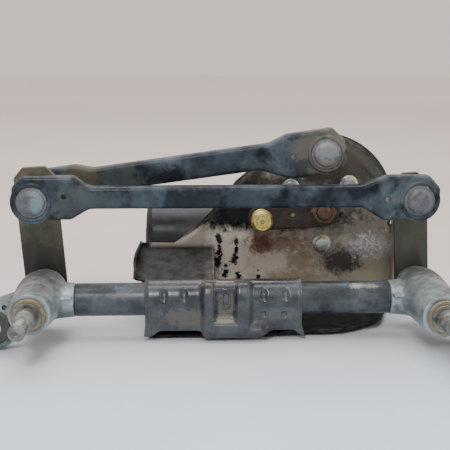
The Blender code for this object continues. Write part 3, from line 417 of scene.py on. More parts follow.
def pressed(name, outline, front, thickness, relief, plane="XZ", spacing=1.4, holes=()):
    """A pressed sheet with that outline. Its face is at front plus relief(x, z, distance from the edge)."""
    low, high = np.min(outline, axis=0) - 2.0, np.max(outline, axis=0) + 2.0
    columns, rows = (int(size / spacing) for size in high - low)
    x, z = np.meshgrid(np.linspace(low[0], high[0], columns), np.linspace(low[1], high[1], rows))
    face = front + relief(x, z, distance_inside(x, z, outline))
    total = rows * columns
    points = []
    for depth in (0.0, thickness):
        points += list(zip(x.ravel(), (face + depth).ravel(), z.ravel()))
    faces = []
    for row in range(rows - 1):
        for column in range(columns - 1):
            a = row * columns + column
            quad = (a, a + 1, a + columns + 1, a + columns)
            faces += [quad, tuple(i + total for i in reversed(quad))]
    edge = list(range(columns)) + [row * columns + columns - 1 for row in range(1, rows)]
    edge += list(range(total - 2, total - columns - 1, -1)) + [
        row * columns
        for row in range(rows - 2, 0, -1)
    ]
    for a, b in zip(edge, edge[1:] + edge[:1]):
        faces.append((a, b, b + total, a + total))
    if plane == "XY":
        points = [(px, pz, py) for px, py, pz in points]
    sheet = build(name, points, faces, sharp=50.0)
    cutter = slab(
        f"{name}_outline", outline, front - 30.0, front + 30.0, plane, bevel=0.05, holes=holes, count=1,
    )
    return boolean(sheet, "INTERSECT", cutter)


# Materials


class Paint:
    """A procedural material built socket by socket, in object coordinates counted in millimetres."""

    def __init__(self, name):
        self.material = bpy.data.materials.new(name)
        self.material.use_nodes = True
        self.tree = self.material.node_tree
        self.shader = self.tree.nodes["Principled BSDF"]
        where = self.tree.nodes.new("ShaderNodeTexCoord")
        scale = self.tree.nodes.new("ShaderNodeVectorMath")
        scale.operation = "SCALE"
        scale.inputs["Scale"].default_value = 1000.0
        self.tree.links.new(where.outputs["Object"], scale.inputs[0])
        self.place = scale.outputs[0]
        self.normal = where.outputs["Normal"]

    def node(self, kind, *values, **settings):
        made = self.tree.nodes.new(kind)
        for key, value in settings.items():
            setattr(made, key, value)
        for socket, value in zip(made.inputs, values):
            self.set(socket, value)
        return made

    def set(self, socket, value):
        if isinstance(value, bpy.types.NodeSocket):
            self.tree.links.new(value, socket)
        elif hasattr(socket.default_value, "__len__") and not hasattr(value, "__len__"):
            socket.default_value = (value,) * len(socket.default_value)
        elif hasattr(value, "__len__") and len(value) == 3 and len(socket.default_value) == 4:
            socket.default_value = (*value, 1.0)
        else:
            socket.default_value = value

    def maths(self, operation, a, b=0.0, clamp=False):
        return self.node("ShaderNodeMath", a, b, operation=operation, use_clamp=clamp).outputs[0]

    def times(self, a, b):
        return self.maths("MULTIPLY", a, b)

    def most(self, a, b):
        return self.maths("MAXIMUM", a, b)

    def rest(self, share):
        return self.maths("SUBTRACT", 1.0, share)

    def between(self, value, low, high, start=0.0, end=1.0):
        """value as a share of the way from low to high, kept between start and end."""
        made = self.node("ShaderNodeMapRange", value, low, high, start, end)
        return made.outputs[0]

    def noise(self, size, detail=4.0, stretch=(1.0, 1.0, 1.0), seed=0.0, roughness=0.55):
        """Noise from 0 to 1 with features about size millimetres across."""
        moved = self.node("ShaderNodeMapping", self.place, (seed * 37.1, seed * 11.3, seed * 71.7))
        moved.inputs["Scale"].default_value = [1.0 / (size * s) for s in stretch]
        made = self.node("ShaderNodeTexNoise")
        self.set(made.inputs["Vector"], moved.outputs[0])
        self.set(made.inputs["Scale"], 1.0)
        self.set(made.inputs["Detail"], detail)
        self.set(made.inputs["Roughness"], roughness)
        return made.outputs[0]

    def blend(self, share, first, second):
        made = self.tree.nodes.new("ShaderNodeMix")
        made.data_type = "RGBA"
        self.set(made.inputs["Factor"], share)
        self.set(made.inputs[6], first)
        self.set(made.inputs[7], second)
        return made.outputs[2]

    def spot(self, middle, size, soft=0.5, noise=None, wander=0.6):
        """1 inside an ellipsoid of the given half sizes, falling to 0, with an edge broken by noise."""
        away = self.node("ShaderNodeVectorMath", self.place, middle, operation="SUBTRACT").outputs[0]
        scaled = self.node("ShaderNodeVectorMath", away, size, operation="DIVIDE").outputs[0]
        length = self.node("ShaderNodeVectorMath", scaled, operation="LENGTH").outputs["Value"]
        if noise is not None:
            swing = self.maths("MULTIPLY", self.maths("SUBTRACT", noise, 0.5), wander * 2)
            length = self.maths("ADD", length, swing)
        return self.between(length, 1.0 + soft / 2, 1.0 - soft / 2)

    def axis(self, name):
        made = self.node("ShaderNodeSeparateXYZ", self.place)
        return made.outputs[name]

    def upward(self, low=0.2, high=0.9):
        """1 where the surface faces up."""
        made = self.node("ShaderNodeSeparateXYZ", self.normal)
        return self.between(made.outputs["Z"], low, high)

    def edges(self, radius=0.6, low=0.02, high=0.2):
        """1 along sharp outer and inner edges."""
        soft = self.node("ShaderNodeBevel", radius * MM, samples=4).outputs[0]
        true = self.node("ShaderNodeNewGeometry").outputs["Normal"]
        dot = self.node("ShaderNodeVectorMath", soft, true, operation="DOT_PRODUCT").outputs["Value"]
        return self.between(dot, 1.0 - low, 1.0 - high)

    def hollows(self, reach=4.0, low=0.5, high=0.95):
        """1 in corners and crevices."""
        made = self.tree.nodes.new("ShaderNodeAmbientOcclusion")
        made.samples = 4
        made.inputs["Distance"].default_value = reach * MM
        return self.between(made.outputs["AO"], high, low)

    def bump(self, height, depth):
        made = self.tree.nodes.new("ShaderNodeBump")
        self.set(made.inputs["Height"], height)
        made.inputs["Distance"].default_value = depth * MM
        return made.outputs[0]

    def finish(self, colour, roughness, metallic, normal):
        names = ("Base Color", "Roughness", "Metallic", "Normal")
        for socket, value in zip(names, (colour, roughness, metallic, normal)):
            self.set(self.shader.inputs[socket], value)
        return self.material


def weathered(
    name, tones, rough=(0.35, 0.6), metallic=0.0, tone_size=14.0, dust=(0.35, 0.31, 0.25),
    settling=(0.35, 0.5, 0.1), bare=None, wear=(0.6, 0.9, 0.0), rust=0.0, grain=0.35, grain_depth=0.05,
    patches=(), speckle=0.35, reflection=0.5, seed=0.0,
):
    """A worn finish: mottled tones, dust, bare edges, scratches and local patches.

    settling is how much dust lies on top, in corners and all over. wear is how much of the bare colour
    shows along edges, how metallic it is, and how much the scratches add. A patch is (middle, half sizes,
    colour, strength, noise size, metallic).
    """
    dust_top, dust_hollow, dust_all = settling
    bare_edge, bare_metal, scratches = wear
    p = Paint(name)
    broad = p.noise(tone_size, 5.0, seed=seed + 1.0)
    fine = p.noise(1.6, 3.0, seed=seed + 2.0)
    tiny = p.noise(grain, 2.0, seed=seed + 3.0)
    colour = p.blend(p.between(broad, 0.38, 0.62), tones[0], tones[1])
    if len(tones) > 2:
        colour = p.blend(
            p.between(p.noise(tone_size * 0.45, 5.0, seed=seed + 4.0), 0.5, 0.68), colour, tones[2],
        )
    shine = p.between(broad, 0.35, 0.65, *rough)
    metal = metallic
    colour = p.blend(p.between(fine, 0.56, 0.7, 0.0, speckle), colour, dust)
    if rust > 0.0:
        rusty = p.between(p.noise(5.0, 6.0, seed=seed + 5.0), 0.66 - rust * 0.3, 0.74 - rust * 0.2)
        rust_colour = p.blend(p.between(fine, 0.4, 0.6), (0.13, 0.045, 0.02), (0.27, 0.11, 0.045))
        colour = p.blend(rusty, colour, rust_colour)
        shine = p.most(shine, p.times(rusty, 0.8))
        metal = p.times(metal, p.rest(rusty))
    if bare is not None:
        worn = p.times(p.edges(), p.between(p.noise(3.0, 4.0, seed=seed + 6.0), 0.42, 0.6))
        if scratches > 0.0:
            long = p.noise(1.4, 3.0, (9.0, 9.0, 0.5), seed=seed + 7.0)
            cross = p.noise(1.2, 3.0, (0.5, 8.0, 9.0), seed=seed + 8.0)
            lines = p.most(p.between(long, 0.7, 0.75), p.between(cross, 0.72, 0.77))
            worn = p.most(worn, p.times(lines, scratches))
        worn = p.times(worn, bare_edge)
        colour = p.blend(worn, colour, bare)
        metal = p.most(metal, p.times(worn, bare_metal))
    cloud = p.between(p.noise(9.0, 6.0, seed=seed + 9.0), 0.3, 0.68)
    settled = p.times(p.upward(), dust_top)
    settled = p.most(settled, p.times(p.hollows(), dust_hollow))
    settled = p.maths(
        "MULTIPLY", p.maths("ADD", settled, dust_all), p.maths("ADD", cloud, 0.25), clamp=True,
    )
    colour = p.blend(settled, colour, dust)
    metal = p.times(metal, p.rest(settled))
    shine = p.maths("ADD", shine, p.times(settled, 0.35), clamp=True)
    for index, (middle, size, tint, strength, ragged, patch_metal) in enumerate(patches):
        broken = p.noise(ragged, 6.0, seed=seed + 20.0 + index, roughness=0.65)
        area = p.times(p.spot(middle, size, 0.5, broken, 1.4), strength)
        colour = p.blend(area, colour, tint)
        keep = p.times(metal, p.rest(area))
        metal = p.maths("ADD", keep, p.times(area, patch_metal))
    height = p.maths("ADD", p.times(tiny, 0.5), p.times(settled, 0.6))
    normal = p.bump(p.maths("ADD", height, p.times(fine, 0.5)), grain_depth)
    p.shader.inputs["Specular IOR Level"].default_value = reflection
    return p.finish(colour, shine, metal, normal)


def link_finish(name, seed, patches=()):
    return weathered(
        name, [(0.01, 0.015, 0.021), (0.08, 0.102, 0.12), (0.008, 0.01, 0.014)], rough=(0.24, 0.4),
        tone_size=24.0, dust=(0.075, 0.08, 0.075), settling=(0.0, 0.9, 0.0), bare=(0.1, 0.13, 0.15),
        wear=(0.1, 0.9, 0.8), speckle=0.1, reflection=0.12, seed=seed, patches=patches,
    )


def shoulder(x, z, reach, colour, strength, ragged, y=0.0):
    """A patch round a place on the front of a link."""
    return ((x, y, z), (reach, 60.0, reach), colour, strength, ragged, 0.0)


FINISH = {
    "front_link": link_finish(
        "front_link_paint", 1.0,
        [
            shoulder(-104.0, 88.0, 14.0, (0.06, 0.07, 0.07), 0.6, 5.0),
            shoulder(-85.0, 87.0, 12.0, (0.05, 0.066, 0.075), 0.7, 6.0),
            shoulder(-52.0, 90.0, 16.0, (0.045, 0.062, 0.078), 0.6, 7.0),
            shoulder(-25.0, 84.0, 22.0, (0.01, 0.013, 0.018), 0.8, 9.0),
            shoulder(10.0, 90.0, 14.0, (0.04, 0.056, 0.07), 0.6, 7.0),
            shoulder(118.0, 97.0, 9.0, (0.075, 0.085, 0.085), 0.4, 4.0),
        ],
    ),
    "motor_link": link_finish(
        "motor_link_paint", 2.0,
        [
            shoulder(62.0, 120.0, 19.0, (0.1, 0.094, 0.078), 0.9, 12.0, 24.0),
            shoulder(72.0, 128.0, 8.0, (0.15, 0.14, 0.11), 0.6, 6.0, 24.0),
            shoulder(47.0, 110.0, 6.0, (0.03, 0.036, 0.042), 0.8, 5.0, 24.0),
            shoulder(-101.0, 104.0, 12.0, (0.085, 0.08, 0.05), 0.8, 9.0, 30.0),
            shoulder(-76.0, 100.0, 14.0, (0.05, 0.06, 0.058), 0.7, 8.0, 30.0),
            shoulder(-40.0, 102.0, 9.0, (0.008, 0.01, 0.014), 0.9, 7.0, 30.0),
            shoulder(-12.0, 106.0, 18.0, (0.035, 0.048, 0.06), 0.6, 8.0, 30.0),
        ],
    ),
    "tube": weathered(
        "tube_paint", [(0.022, 0.03, 0.038), (0.075, 0.092, 0.105), (0.016, 0.02, 0.026)],
        rough=(0.24, 0.42), tone_size=20.0, dust=(0.12, 0.125, 0.12), settling=(0.03, 0.5, 0.05),
        bare=(0.2, 0.22, 0.23), wear=(0.25, 0.9, 0.6), speckle=0.15, reflection=0.4, seed=3.0,
        patches=[
            ((-73.0, -7.0, 35.0), (4.0, 6.0, 1.5), (0.04, 0.1, 0.19), 0.6, 2.4, 0.0),
            ((-86.0, -8.0, 33.0), (9.0, 9.0, 3.0), (0.015, 0.018, 0.02), 0.9, 2.0, 0.0),
            ((0.0, -4.0, 36.4), (112.0, 6.0, 1.5), (0.01, 0.012, 0.014), 0.8, 3.0, 0.0),
            ((82.0, -8.0, 34.5), (5.0, 6.0, 1.3), (0.3, 0.32, 0.31), 0.9, 1.6, 0.0),
            ((92.0, -8.0, 34.5), (6.0, 6.0, 1.1), (0.24, 0.24, 0.21), 0.8, 1.6, 0.0),
            ((74.0, -7.0, 35.0), (3.0, 6.0, 1.5), (0.04, 0.1, 0.17), 0.5, 2.4, 0.0),
            ((60.0, -9.0, 22.0), (3.0, 6.0, 5.0), (0.02, 0.02, 0.022), 0.8, 2.0, 0.0),
        ],
    ),
    "clamp": weathered(
        "clamp_paint", [(0.014, 0.019, 0.025), (0.05, 0.062, 0.072), (0.01, 0.014, 0.02)],
        rough=(0.16, 0.32), tone_size=20.0, dust=(0.14, 0.135, 0.115), settling=(0.0, 0.35, 0.02),
        bare=(0.2, 0.22, 0.23), wear=(0.2, 0.9, 0.4), speckle=0.12, seed=4.0,
        patches=[
            ((-5.7, -16.0, 15.6), (6.5, 8.0, 2.6), (0.17, 0.155, 0.11), 0.85, 2.0, 0.0),
            ((-5.1, -13.0, 23.0), (6.5, 8.0, 8.0), (0.1, 0.1, 0.085), 0.7, 6.0, 0.0),
            ((-5.1, -13.0, 27.3), (1.5, 6.0, 3.6), (0.3, 0.29, 0.25), 0.95, 1.0, 0.0),
            ((-32.0, -14.0, 16.0), (16.0, 9.0, 6.0), (0.085, 0.08, 0.07), 0.7, 4.0, 0.0),
            ((30.0, -14.0, 18.0), (16.0, 9.0, 4.0), (0.08, 0.082, 0.078), 0.6, 4.0, 0.0),
            ((-6.0, -6.0, 38.5), (20.0, 9.0, 1.8), (0.1, 0.085, 0.08), 0.8, 2.0, 0.0),
        ],
    ),
    "casting": weathered(
        "cast_aluminium", [(0.24, 0.29, 0.3), (0.36, 0.42, 0.43), (0.15, 0.17, 0.16)], rough=(0.34, 0.5),
        metallic=0.75, tone_size=22.0, dust=(0.075, 0.082, 0.078), settling=(0.75, 0.75, 0.05), speckle=0.2,
        bare=(0.6, 0.65, 0.67), wear=(0.85, 0.9, 0.5), grain=0.9, grain_depth=0.22, seed=5.0,
        patches=[
            ((-128.0, 0.0, 38.0), (15.0, 16.0, 9.0), (0.035, 0.038, 0.035), 0.75, 8.0, 0.2),
            ((128.0, 0.0, 38.0), (15.0, 16.0, 8.0), (0.045, 0.048, 0.045), 0.7, 8.0, 0.2),
            # The bright bluish spots on the front of each neck are painted highlights.
            ((-111.0, -12.0, 30.0), (9.0, 9.0, 5.0), (0.5, 0.57, 0.6), 0.6, 3.0, 0.8),
            ((109.0, -12.0, 30.0), (8.0, 9.0, 5.0), (0.42, 0.46, 0.47), 0.5, 3.0, 0.8),
        ],
    ),
    "olive": weathered(
        "olive_zinc", [(0.055, 0.055, 0.036), (0.09, 0.088, 0.055), (0.05, 0.051, 0.042)],
        rough=(0.34, 0.5), metallic=0.5, tone_size=40.0, dust=(0.13, 0.12, 0.085), settling=(0.3, 0.3, 0.0),
        speckle=0.06, bare=(0.15, 0.08, 0.04), wear=(0.7, 0.1, 0.25), seed=6.0,
        patches=[
            ((-128.0, 20.0, 38.0), (30.0, 9.0, 40.0), (0.016, 0.018, 0.015), 0.9, 40.0, 0.3),
            ((128.0, 20.0, 40.0), (30.0, 9.0, 26.0), (0.038, 0.039, 0.033), 0.7, 40.0, 0.3),
            ((-130.0, 20.0, 90.0), (24.0, 9.0, 16.0), (0.13, 0.125, 0.075), 0.6, 12.0, 0.3),
            ((-141.0, 20.0, 109.0), (4.0, 9.0, 2.4), (0.12, 0.05, 0.025), 0.5, 2.0, 0.0),
        ],
    ),
    "yellow": weathered(
        "yellow_zinc", [(0.46, 0.35, 0.08), (0.62, 0.5, 0.14), (0.3, 0.23, 0.07)], rough=(0.25, 0.42),
        metallic=0.85, tone_size=4.0, dust=(0.26, 0.22, 0.13), settling=(0.35, 0.5, 0.04),
        bare=(0.75, 0.72, 0.6), wear=(0.5, 0.9, 0.3), seed=7.0,
    ),
    "washer": weathered(
        "olive_yellow_washer", [(0.19, 0.17, 0.095), (0.27, 0.24, 0.13), (0.13, 0.12, 0.09)],
        rough=(0.35, 0.55), metallic=0.7, tone_size=4.0, dust=(0.2, 0.18, 0.13), settling=(0.35, 0.5, 0.15),
        bare=(0.55, 0.52, 0.4), wear=(0.8, 0.9, 0.3), rust=0.25, seed=8.0,
    ),
    "bolt": weathered(
        "bluish_zinc", [(0.36, 0.41, 0.42), (0.5, 0.55, 0.55), (0.25, 0.29, 0.29)], rough=(0.25, 0.42),
        metallic=0.85, tone_size=3.0, dust=(0.32, 0.3, 0.24), settling=(0.35, 0.5, 0.1),
        bare=(0.7, 0.72, 0.72), wear=(0.7, 0.9, 0.3), seed=9.0,
        patches=[
            ((93.5, 62.0, 95.5), (2.4, 9.0, 2.0), (0.5, 0.42, 0.05), 0.85, 1.6, 0.0),
            ((72.0, 62.0, 53.0), (3.6, 9.0, 1.6), (0.5, 0.42, 0.05), 0.7, 1.6, 0.0),
        ],
    ),
    "steel": weathered(
        "worn_dark_steel", [(0.17, 0.175, 0.16), (0.28, 0.29, 0.27), (0.1, 0.1, 0.09)], rough=(0.3, 0.5),
        metallic=0.85, tone_size=9.0, dust=(0.1, 0.098, 0.085), settling=(0.3, 0.5, 0.05), speckle=0.15,
        bare=(0.75, 0.78, 0.82), wear=(0.8, 0.9, 0.4), seed=10.0,
    ),
    "rusty": weathered(
        "rusty_steel", [(0.06, 0.028, 0.018), (0.13, 0.06, 0.034), (0.035, 0.02, 0.016)], rough=(0.5, 0.75),
        metallic=0.35, tone_size=4.0, dust=(0.14, 0.1, 0.065), settling=(0.35, 0.4, 0.05),
        bare=(0.26, 0.2, 0.14), wear=(0.7, 0.9, 0.0), rust=0.15, grain=0.7, grain_depth=0.15, seed=11.0,
    ),
    "crank": weathered(
        "dusty_dark_steel", [(0.022, 0.016, 0.012), (0.045, 0.032, 0.022), (0.016, 0.013, 0.011)],
        rough=(0.45, 0.7), metallic=0.4, tone_size=6.0, dust=(0.08, 0.06, 0.042), settling=(0.2, 0.3, 0.05),
        bare=(0.12, 0.09, 0.065), wear=(0.5, 0.9, 0.0), rust=0.05, seed=12.0,
        patches=[((46.0, 55.0, 71.0), (1.2, 6.0, 1.2), (0.3, 0.26, 0.04), 0.7, 1.5, 0.0)],
    ),
    "socket": weathered(
        "grey_plastic", [(0.06, 0.066, 0.07), (0.1, 0.106, 0.108), (0.05, 0.056, 0.064)],
        rough=(0.35, 0.55), tone_size=5.0, dust=(0.14, 0.14, 0.13), settling=(0.0, 0.4, 0.04), speckle=0.15,
        bare=(0.3, 0.31, 0.31), wear=(0.4, 0.0, 0.4), seed=13.0,
        patches=[
            ((-127.0, 0.0, 90.0), (4.0, 8.0, 8.0), (0.2, 0.32, 0.4), 0.4, 0.9, 0.0),
            ((64.5, 20.0, 122.0), (8.0, 12.0, 6.0), (0.2, 0.22, 0.23), 0.6, 3.0, 0.0),
            ((64.5, 20.0, 111.5), (8.0, 12.0, 3.6), (0.18, 0.16, 0.13), 0.8, 2.0, 0.0),
        ],
    ),
    "rubber": weathered(
        "black_rubber", [(0.018, 0.018, 0.018), (0.032, 0.032, 0.031)], rough=(0.7, 0.85),
        dust=(0.17, 0.16, 0.13), settling=(0.3, 0.6, 0.15), grain=0.5, grain_depth=0.1, seed=14.0,
    ),
    "can": weathered(
        "can_paint", [(0.008, 0.01, 0.014), (0.016, 0.019, 0.024), (0.024, 0.027, 0.033)],
        rough=(0.28, 0.48), dust=(0.06, 0.058, 0.055), settling=(0.12, 0.2, 0.0), speckle=0.05,
        reflection=0.3, bare=(0.28, 0.27, 0.26), wear=(0.5, 0.9, 0.3), seed=15.0,
    ),
    "plastic": weathered(
        "black_plastic", [(0.02, 0.02, 0.021), (0.035, 0.035, 0.036)], rough=(0.42, 0.6),
        dust=(0.17, 0.155, 0.13), settling=(0.4, 0.5, 0.08), bare=(0.1, 0.1, 0.1), wear=(0.4, 0.0, 0.0),
        grain=0.6, grain_depth=0.08, seed=16.0,
    ),
    "nylon": weathered(
        "white_nylon", [(0.62, 0.6, 0.52), (0.7, 0.69, 0.62)], rough=(0.35, 0.5), dust=(0.32, 0.22, 0.1),
        settling=(0.1, 0.6, 0.05), seed=17.0,
    ),
    "bronze": weathered(
        "sintered_bronze", [(0.32, 0.2, 0.09), (0.42, 0.27, 0.12)], rough=(0.4, 0.55), metallic=0.9,
        tone_size=3.0, dust=(0.1, 0.07, 0.04), settling=(0.35, 0.6, 0.1), grain=0.25, grain_depth=0.06,
        seed=18.0,
    ),
    "copper": weathered(
        "copper", [(0.5, 0.22, 0.12), (0.62, 0.3, 0.17)], rough=(0.25, 0.45), metallic=0.95, tone_size=3.0,
        dust=(0.14, 0.08, 0.05), settling=(0.35, 0.5, 0.03), seed=19.0,
    ),
    "ferrite": weathered(
        "magnet_ferrite", [(0.05, 0.05, 0.055), (0.085, 0.085, 0.09)], rough=(0.5, 0.7), metallic=0.1,
        dust=(0.15, 0.14, 0.13), grain=0.8, grain_depth=0.15, seed=20.0,
    ),
    "carbon": weathered(
        "brush_carbon", [(0.022, 0.022, 0.024), (0.04, 0.04, 0.042)], rough=(0.5, 0.7), metallic=0.2,
        dust=(0.08, 0.08, 0.08), seed=21.0,
    ),
}


def bracket_finish():
    """Dust over black paint with chips, a dark scoop and a chalky blotch; painted rust-brown shadow under the
    crank, painted shadow of the front link and painted shade under the tube.
    """
    p = Paint("bracket_paint")
    broad = p.noise(22.0, 6.0, seed=30.0)
    cloud = p.noise(7.0, 6.0, seed=31.0)
    fine = p.noise(1.8, 4.0, seed=32.0)
    tiny = p.noise(0.4, 2.0, seed=33.0)
    x, z = p.axis("X"), p.axis("Z")
    paint = p.blend(p.between(cloud, 0.4, 0.6), (0.009, 0.011, 0.014), (0.022, 0.024, 0.025))
    dust = p.blend(p.between(broad, 0.4, 0.6), (0.3, 0.275, 0.235), (0.25, 0.23, 0.19))
    dust = p.blend(p.between(fine, 0.5, 0.66, 0.0, 0.5), dust, (0.36, 0.32, 0.26))
    # Tone spots on the dust; the ones at (22, 69) and (20, 84) are painted shadow of the front link.
    for x_spot, z_spot, half_x, deep, half_z, tint, strength, ragged in (
        (0.0, 34.0, 16.0, 30.0, 22.0, (0.6, 0.555, 0.49), 0.9, 9.0),
        (34.0, 34.0, 26.0, 30.0, 16.0, (0.52, 0.47, 0.4), 0.8, 5.0),
        (47.0, 18.0, 22.0, 30.0, 8.0, (0.2, 0.175, 0.1), 0.8, 6.0),
        (54.0, 34.0, 10.0, 30.0, 9.0, (0.17, 0.14, 0.085), 0.7, 4.0),
        (97.0, 22.0, 28.0, 30.0, 14.0, (0.23, 0.21, 0.15), 0.6, 6.0),
        (98.0, 62.0, 26.0, 30.0, 12.0, (0.09, 0.08, 0.07), 0.75, 5.0),
        (22.0, 69.0, 64.0, 40.0, 11.0, (0.007, 0.005, 0.004), 1.0, 4.0),
        (84.0, 108.0, 44.0, 30.0, 26.0, (0.042, 0.04, 0.032), 0.9, 8.0),
        (106.0, 90.0, 14.0, 30.0, 14.0, (0.05, 0.053, 0.05), 0.8, 4.0),
        (20.0, 84.0, 26.0, 30.0, 16.0, (0.03, 0.026, 0.02), 0.9, 6.0),
    ):
        ragged_noise = p.noise(ragged, 6.0, seed=x_spot * 0.1 + 34.0, roughness=0.65)
        area = p.spot((x_spot, WALL_Y, z_spot), (half_x, deep, half_z), 0.8, ragged_noise, 1.2)
        dust = p.blend(p.times(area, strength), dust, tint)
    # Rust-brown painted shadow of the motor crank arm along z 47, then a painted shadow under its ball stud.
    rust = p.noise(3.0, 6.0, seed=40.0, roughness=0.7)
    rusty = p.spot((36.0, WALL_Y, 47.0), (24.0, 30.0, 6.0), 0.9, rust, 1.6)
    dust = p.blend(p.times(rusty, 0.75), dust, (0.12, 0.06, 0.038))
    ball_stud_shadow = p.spot((23.0, WALL_Y, 47.0), (7.0, 30.0, 8.0), 0.8, rust, 1.0)
    dust = p.blend(p.times(ball_stud_shadow, 0.8), dust, (0.1, 0.045, 0.03))

    chip_long = p.noise(4.0, 7.0, (0.6, 1.0, 1.6), seed=41.0, roughness=0.66)
    chip_area = p.spot((3.0, WALL_Y, 36.0), (22.0, 40.0, 30.0), 0.9)
    chips = p.times(p.between(chip_long, 0.66, 0.68), chip_area)
    ragged_chips = p.between(p.noise(3.0, 7.0, seed=42.0, roughness=0.7), 0.5, 0.53)
    low_left = p.spot((-18.0, 50.0, 29.0), (13.0, 40.0, 7.0), 0.7, cloud, 1.2)
    chips = p.most(chips, p.times(ragged_chips, low_left))
    for x_chip, z_chip, half_x, half_z in (
        (-7.8, 51.0, 2.4, 5.0), (-7.4, 40.0, 3.0, 4.0), (-8.4, 33.0, 2.2, 4.5), (5.2, 44.0, 1.5, 6.0),
        (3.6, 35.0, 2.6, 3.4), (22.0, 19.0, 1.6, 6.0), (7.0, 21.0, 2.6, 3.6), (-3.0, 24.0, 2.0, 5.0),
    ):
        shape = p.noise(2.6, 6.0, (1.3, 1.0, 0.8), seed=z_chip + 43.0, roughness=0.72)
        chips = p.most(chips, p.spot((x_chip, WALL_Y, z_chip), (half_x, 30.0, half_z), 0.12, shape, 2.6))
    scoop = p.between(x, -10.0, -13.0)
    scoop = p.times(scoop, p.most(p.between(z, 47.0, 44.0), p.between(x, -57.0, -60.0)))
    scoop = p.times(scoop, p.between(broad, 0.25, 0.5, 0.94, 1.0))
    blotch_noise = p.noise(6.0, 7.0, seed=44.0, roughness=0.65)
    blotch = p.spot((84.0, WALL_Y, 33.0), (15.0, 30.0, 10.0), 0.7, blotch_noise, 1.3)
    hidden = p.most(chips, scoop)
    hidden = p.most(hidden, p.times(blotch, 0.85))
    depth = p.axis("Y")
    # Black paint instead of dust below z 12 is painted shade under the tube; the wall's back face gets no
    # dust either.
    shade_under_tube = p.between(z, 12.0, 9.0, 0.0, 1.25)
    behind = p.between(depth, WALL_Y + 1.5, WALL_Y + 2.2)
    hidden = p.most(hidden, p.times(p.most(shade_under_tube, behind), 0.8))
    rim = p.node("ShaderNodeCombineXYZ", x, HUB.y, z).outputs[0]
    rim = p.node("ShaderNodeVectorMath", rim, tuple(HUB), operation="DISTANCE").outputs["Value"]
    rim = p.times(p.between(rim, ARC_RADIUS - 5.0, ARC_RADIUS - 3.0), p.between(z, 58.0, 66.0))
    hidden = p.most(hidden, p.times(rim, 0.75))
    colour = p.blend(hidden, dust, paint)

    chalk_noise = p.noise(4.0, 7.0, seed=45.0, roughness=0.75)
    chalk = p.spot((104.0, WALL_Y, 44.0), (14.0, 30.0, 9.0), 0.7, chalk_noise, 1.5)
    chalk_colour = p.blend(p.between(fine, 0.45, 0.55), (0.44, 0.45, 0.47), (0.24, 0.24, 0.25))
    colour = p.blend(p.times(chalk, 0.85), colour, chalk_colour)
    worn = p.times(p.edges(0.7, 0.03, 0.25), p.between(cloud, 0.42, 0.6, 0.0, 0.5))
    worn = p.times(worn, p.maths("SUBTRACT", 1.0, p.times(scoop, 0.8), clamp=True))
    colour = p.blend(worn, colour, (0.3, 0.275, 0.225))
    settled = p.times(p.upward(0.4, 0.95), p.between(cloud, 0.3, 0.65, 0.1, 0.6))
    settled = p.times(settled, p.between(x, -20.0, -8.0, 0.1, 1.0))
    # Dust thins from z 20 down to z 6: painted shade under the tube.
    settled = p.times(settled, p.between(z, 6.0, 20.0, 0.06, 1.0))
    colour = p.blend(settled, colour, (0.24, 0.215, 0.17))
    gloss = p.maths("SUBTRACT", 0.78, p.times(hidden, 0.36))
    gloss = p.most(gloss, p.times(scoop, 0.42))
    p.shader.inputs["Specular IOR Level"].default_value = 0.05
    height = p.maths("SUBTRACT", p.maths("ADD", p.times(tiny, 0.4), fine), p.times(hidden, 0.8))
    return p.finish(colour, gloss, 0.0, p.bump(height, 0.12))


FINISH["bracket"] = bracket_finish()


def stands_for(obj, node, body, finish):
    """obj takes a CAD node's place on its body, with one of the finishes."""
    obj.data.materials.clear()
    obj.data.materials.append(FINISH[finish])
    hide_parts(node)
    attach(obj, body)
    return obj


# Frame: tube and clamp


def make_tube():
    low, high = -TUBE_END, TUBE_END
    place = along("X", z=TUBE_Z)
    tube = tube_between("tube", TUBE_RADIUS - 1.5, TUBE_RADIUS, low, high, place, 96, 0.5)
    stands_for(tube, "frame_tube", "frame", "tube")


CLAMP_RADIUS = TUBE_RADIUS + 2.0
CLAMP_LEFT, CLAMP_RIGHT = span("tube_clamp", "X")
CLAMP_TOP = 39.0


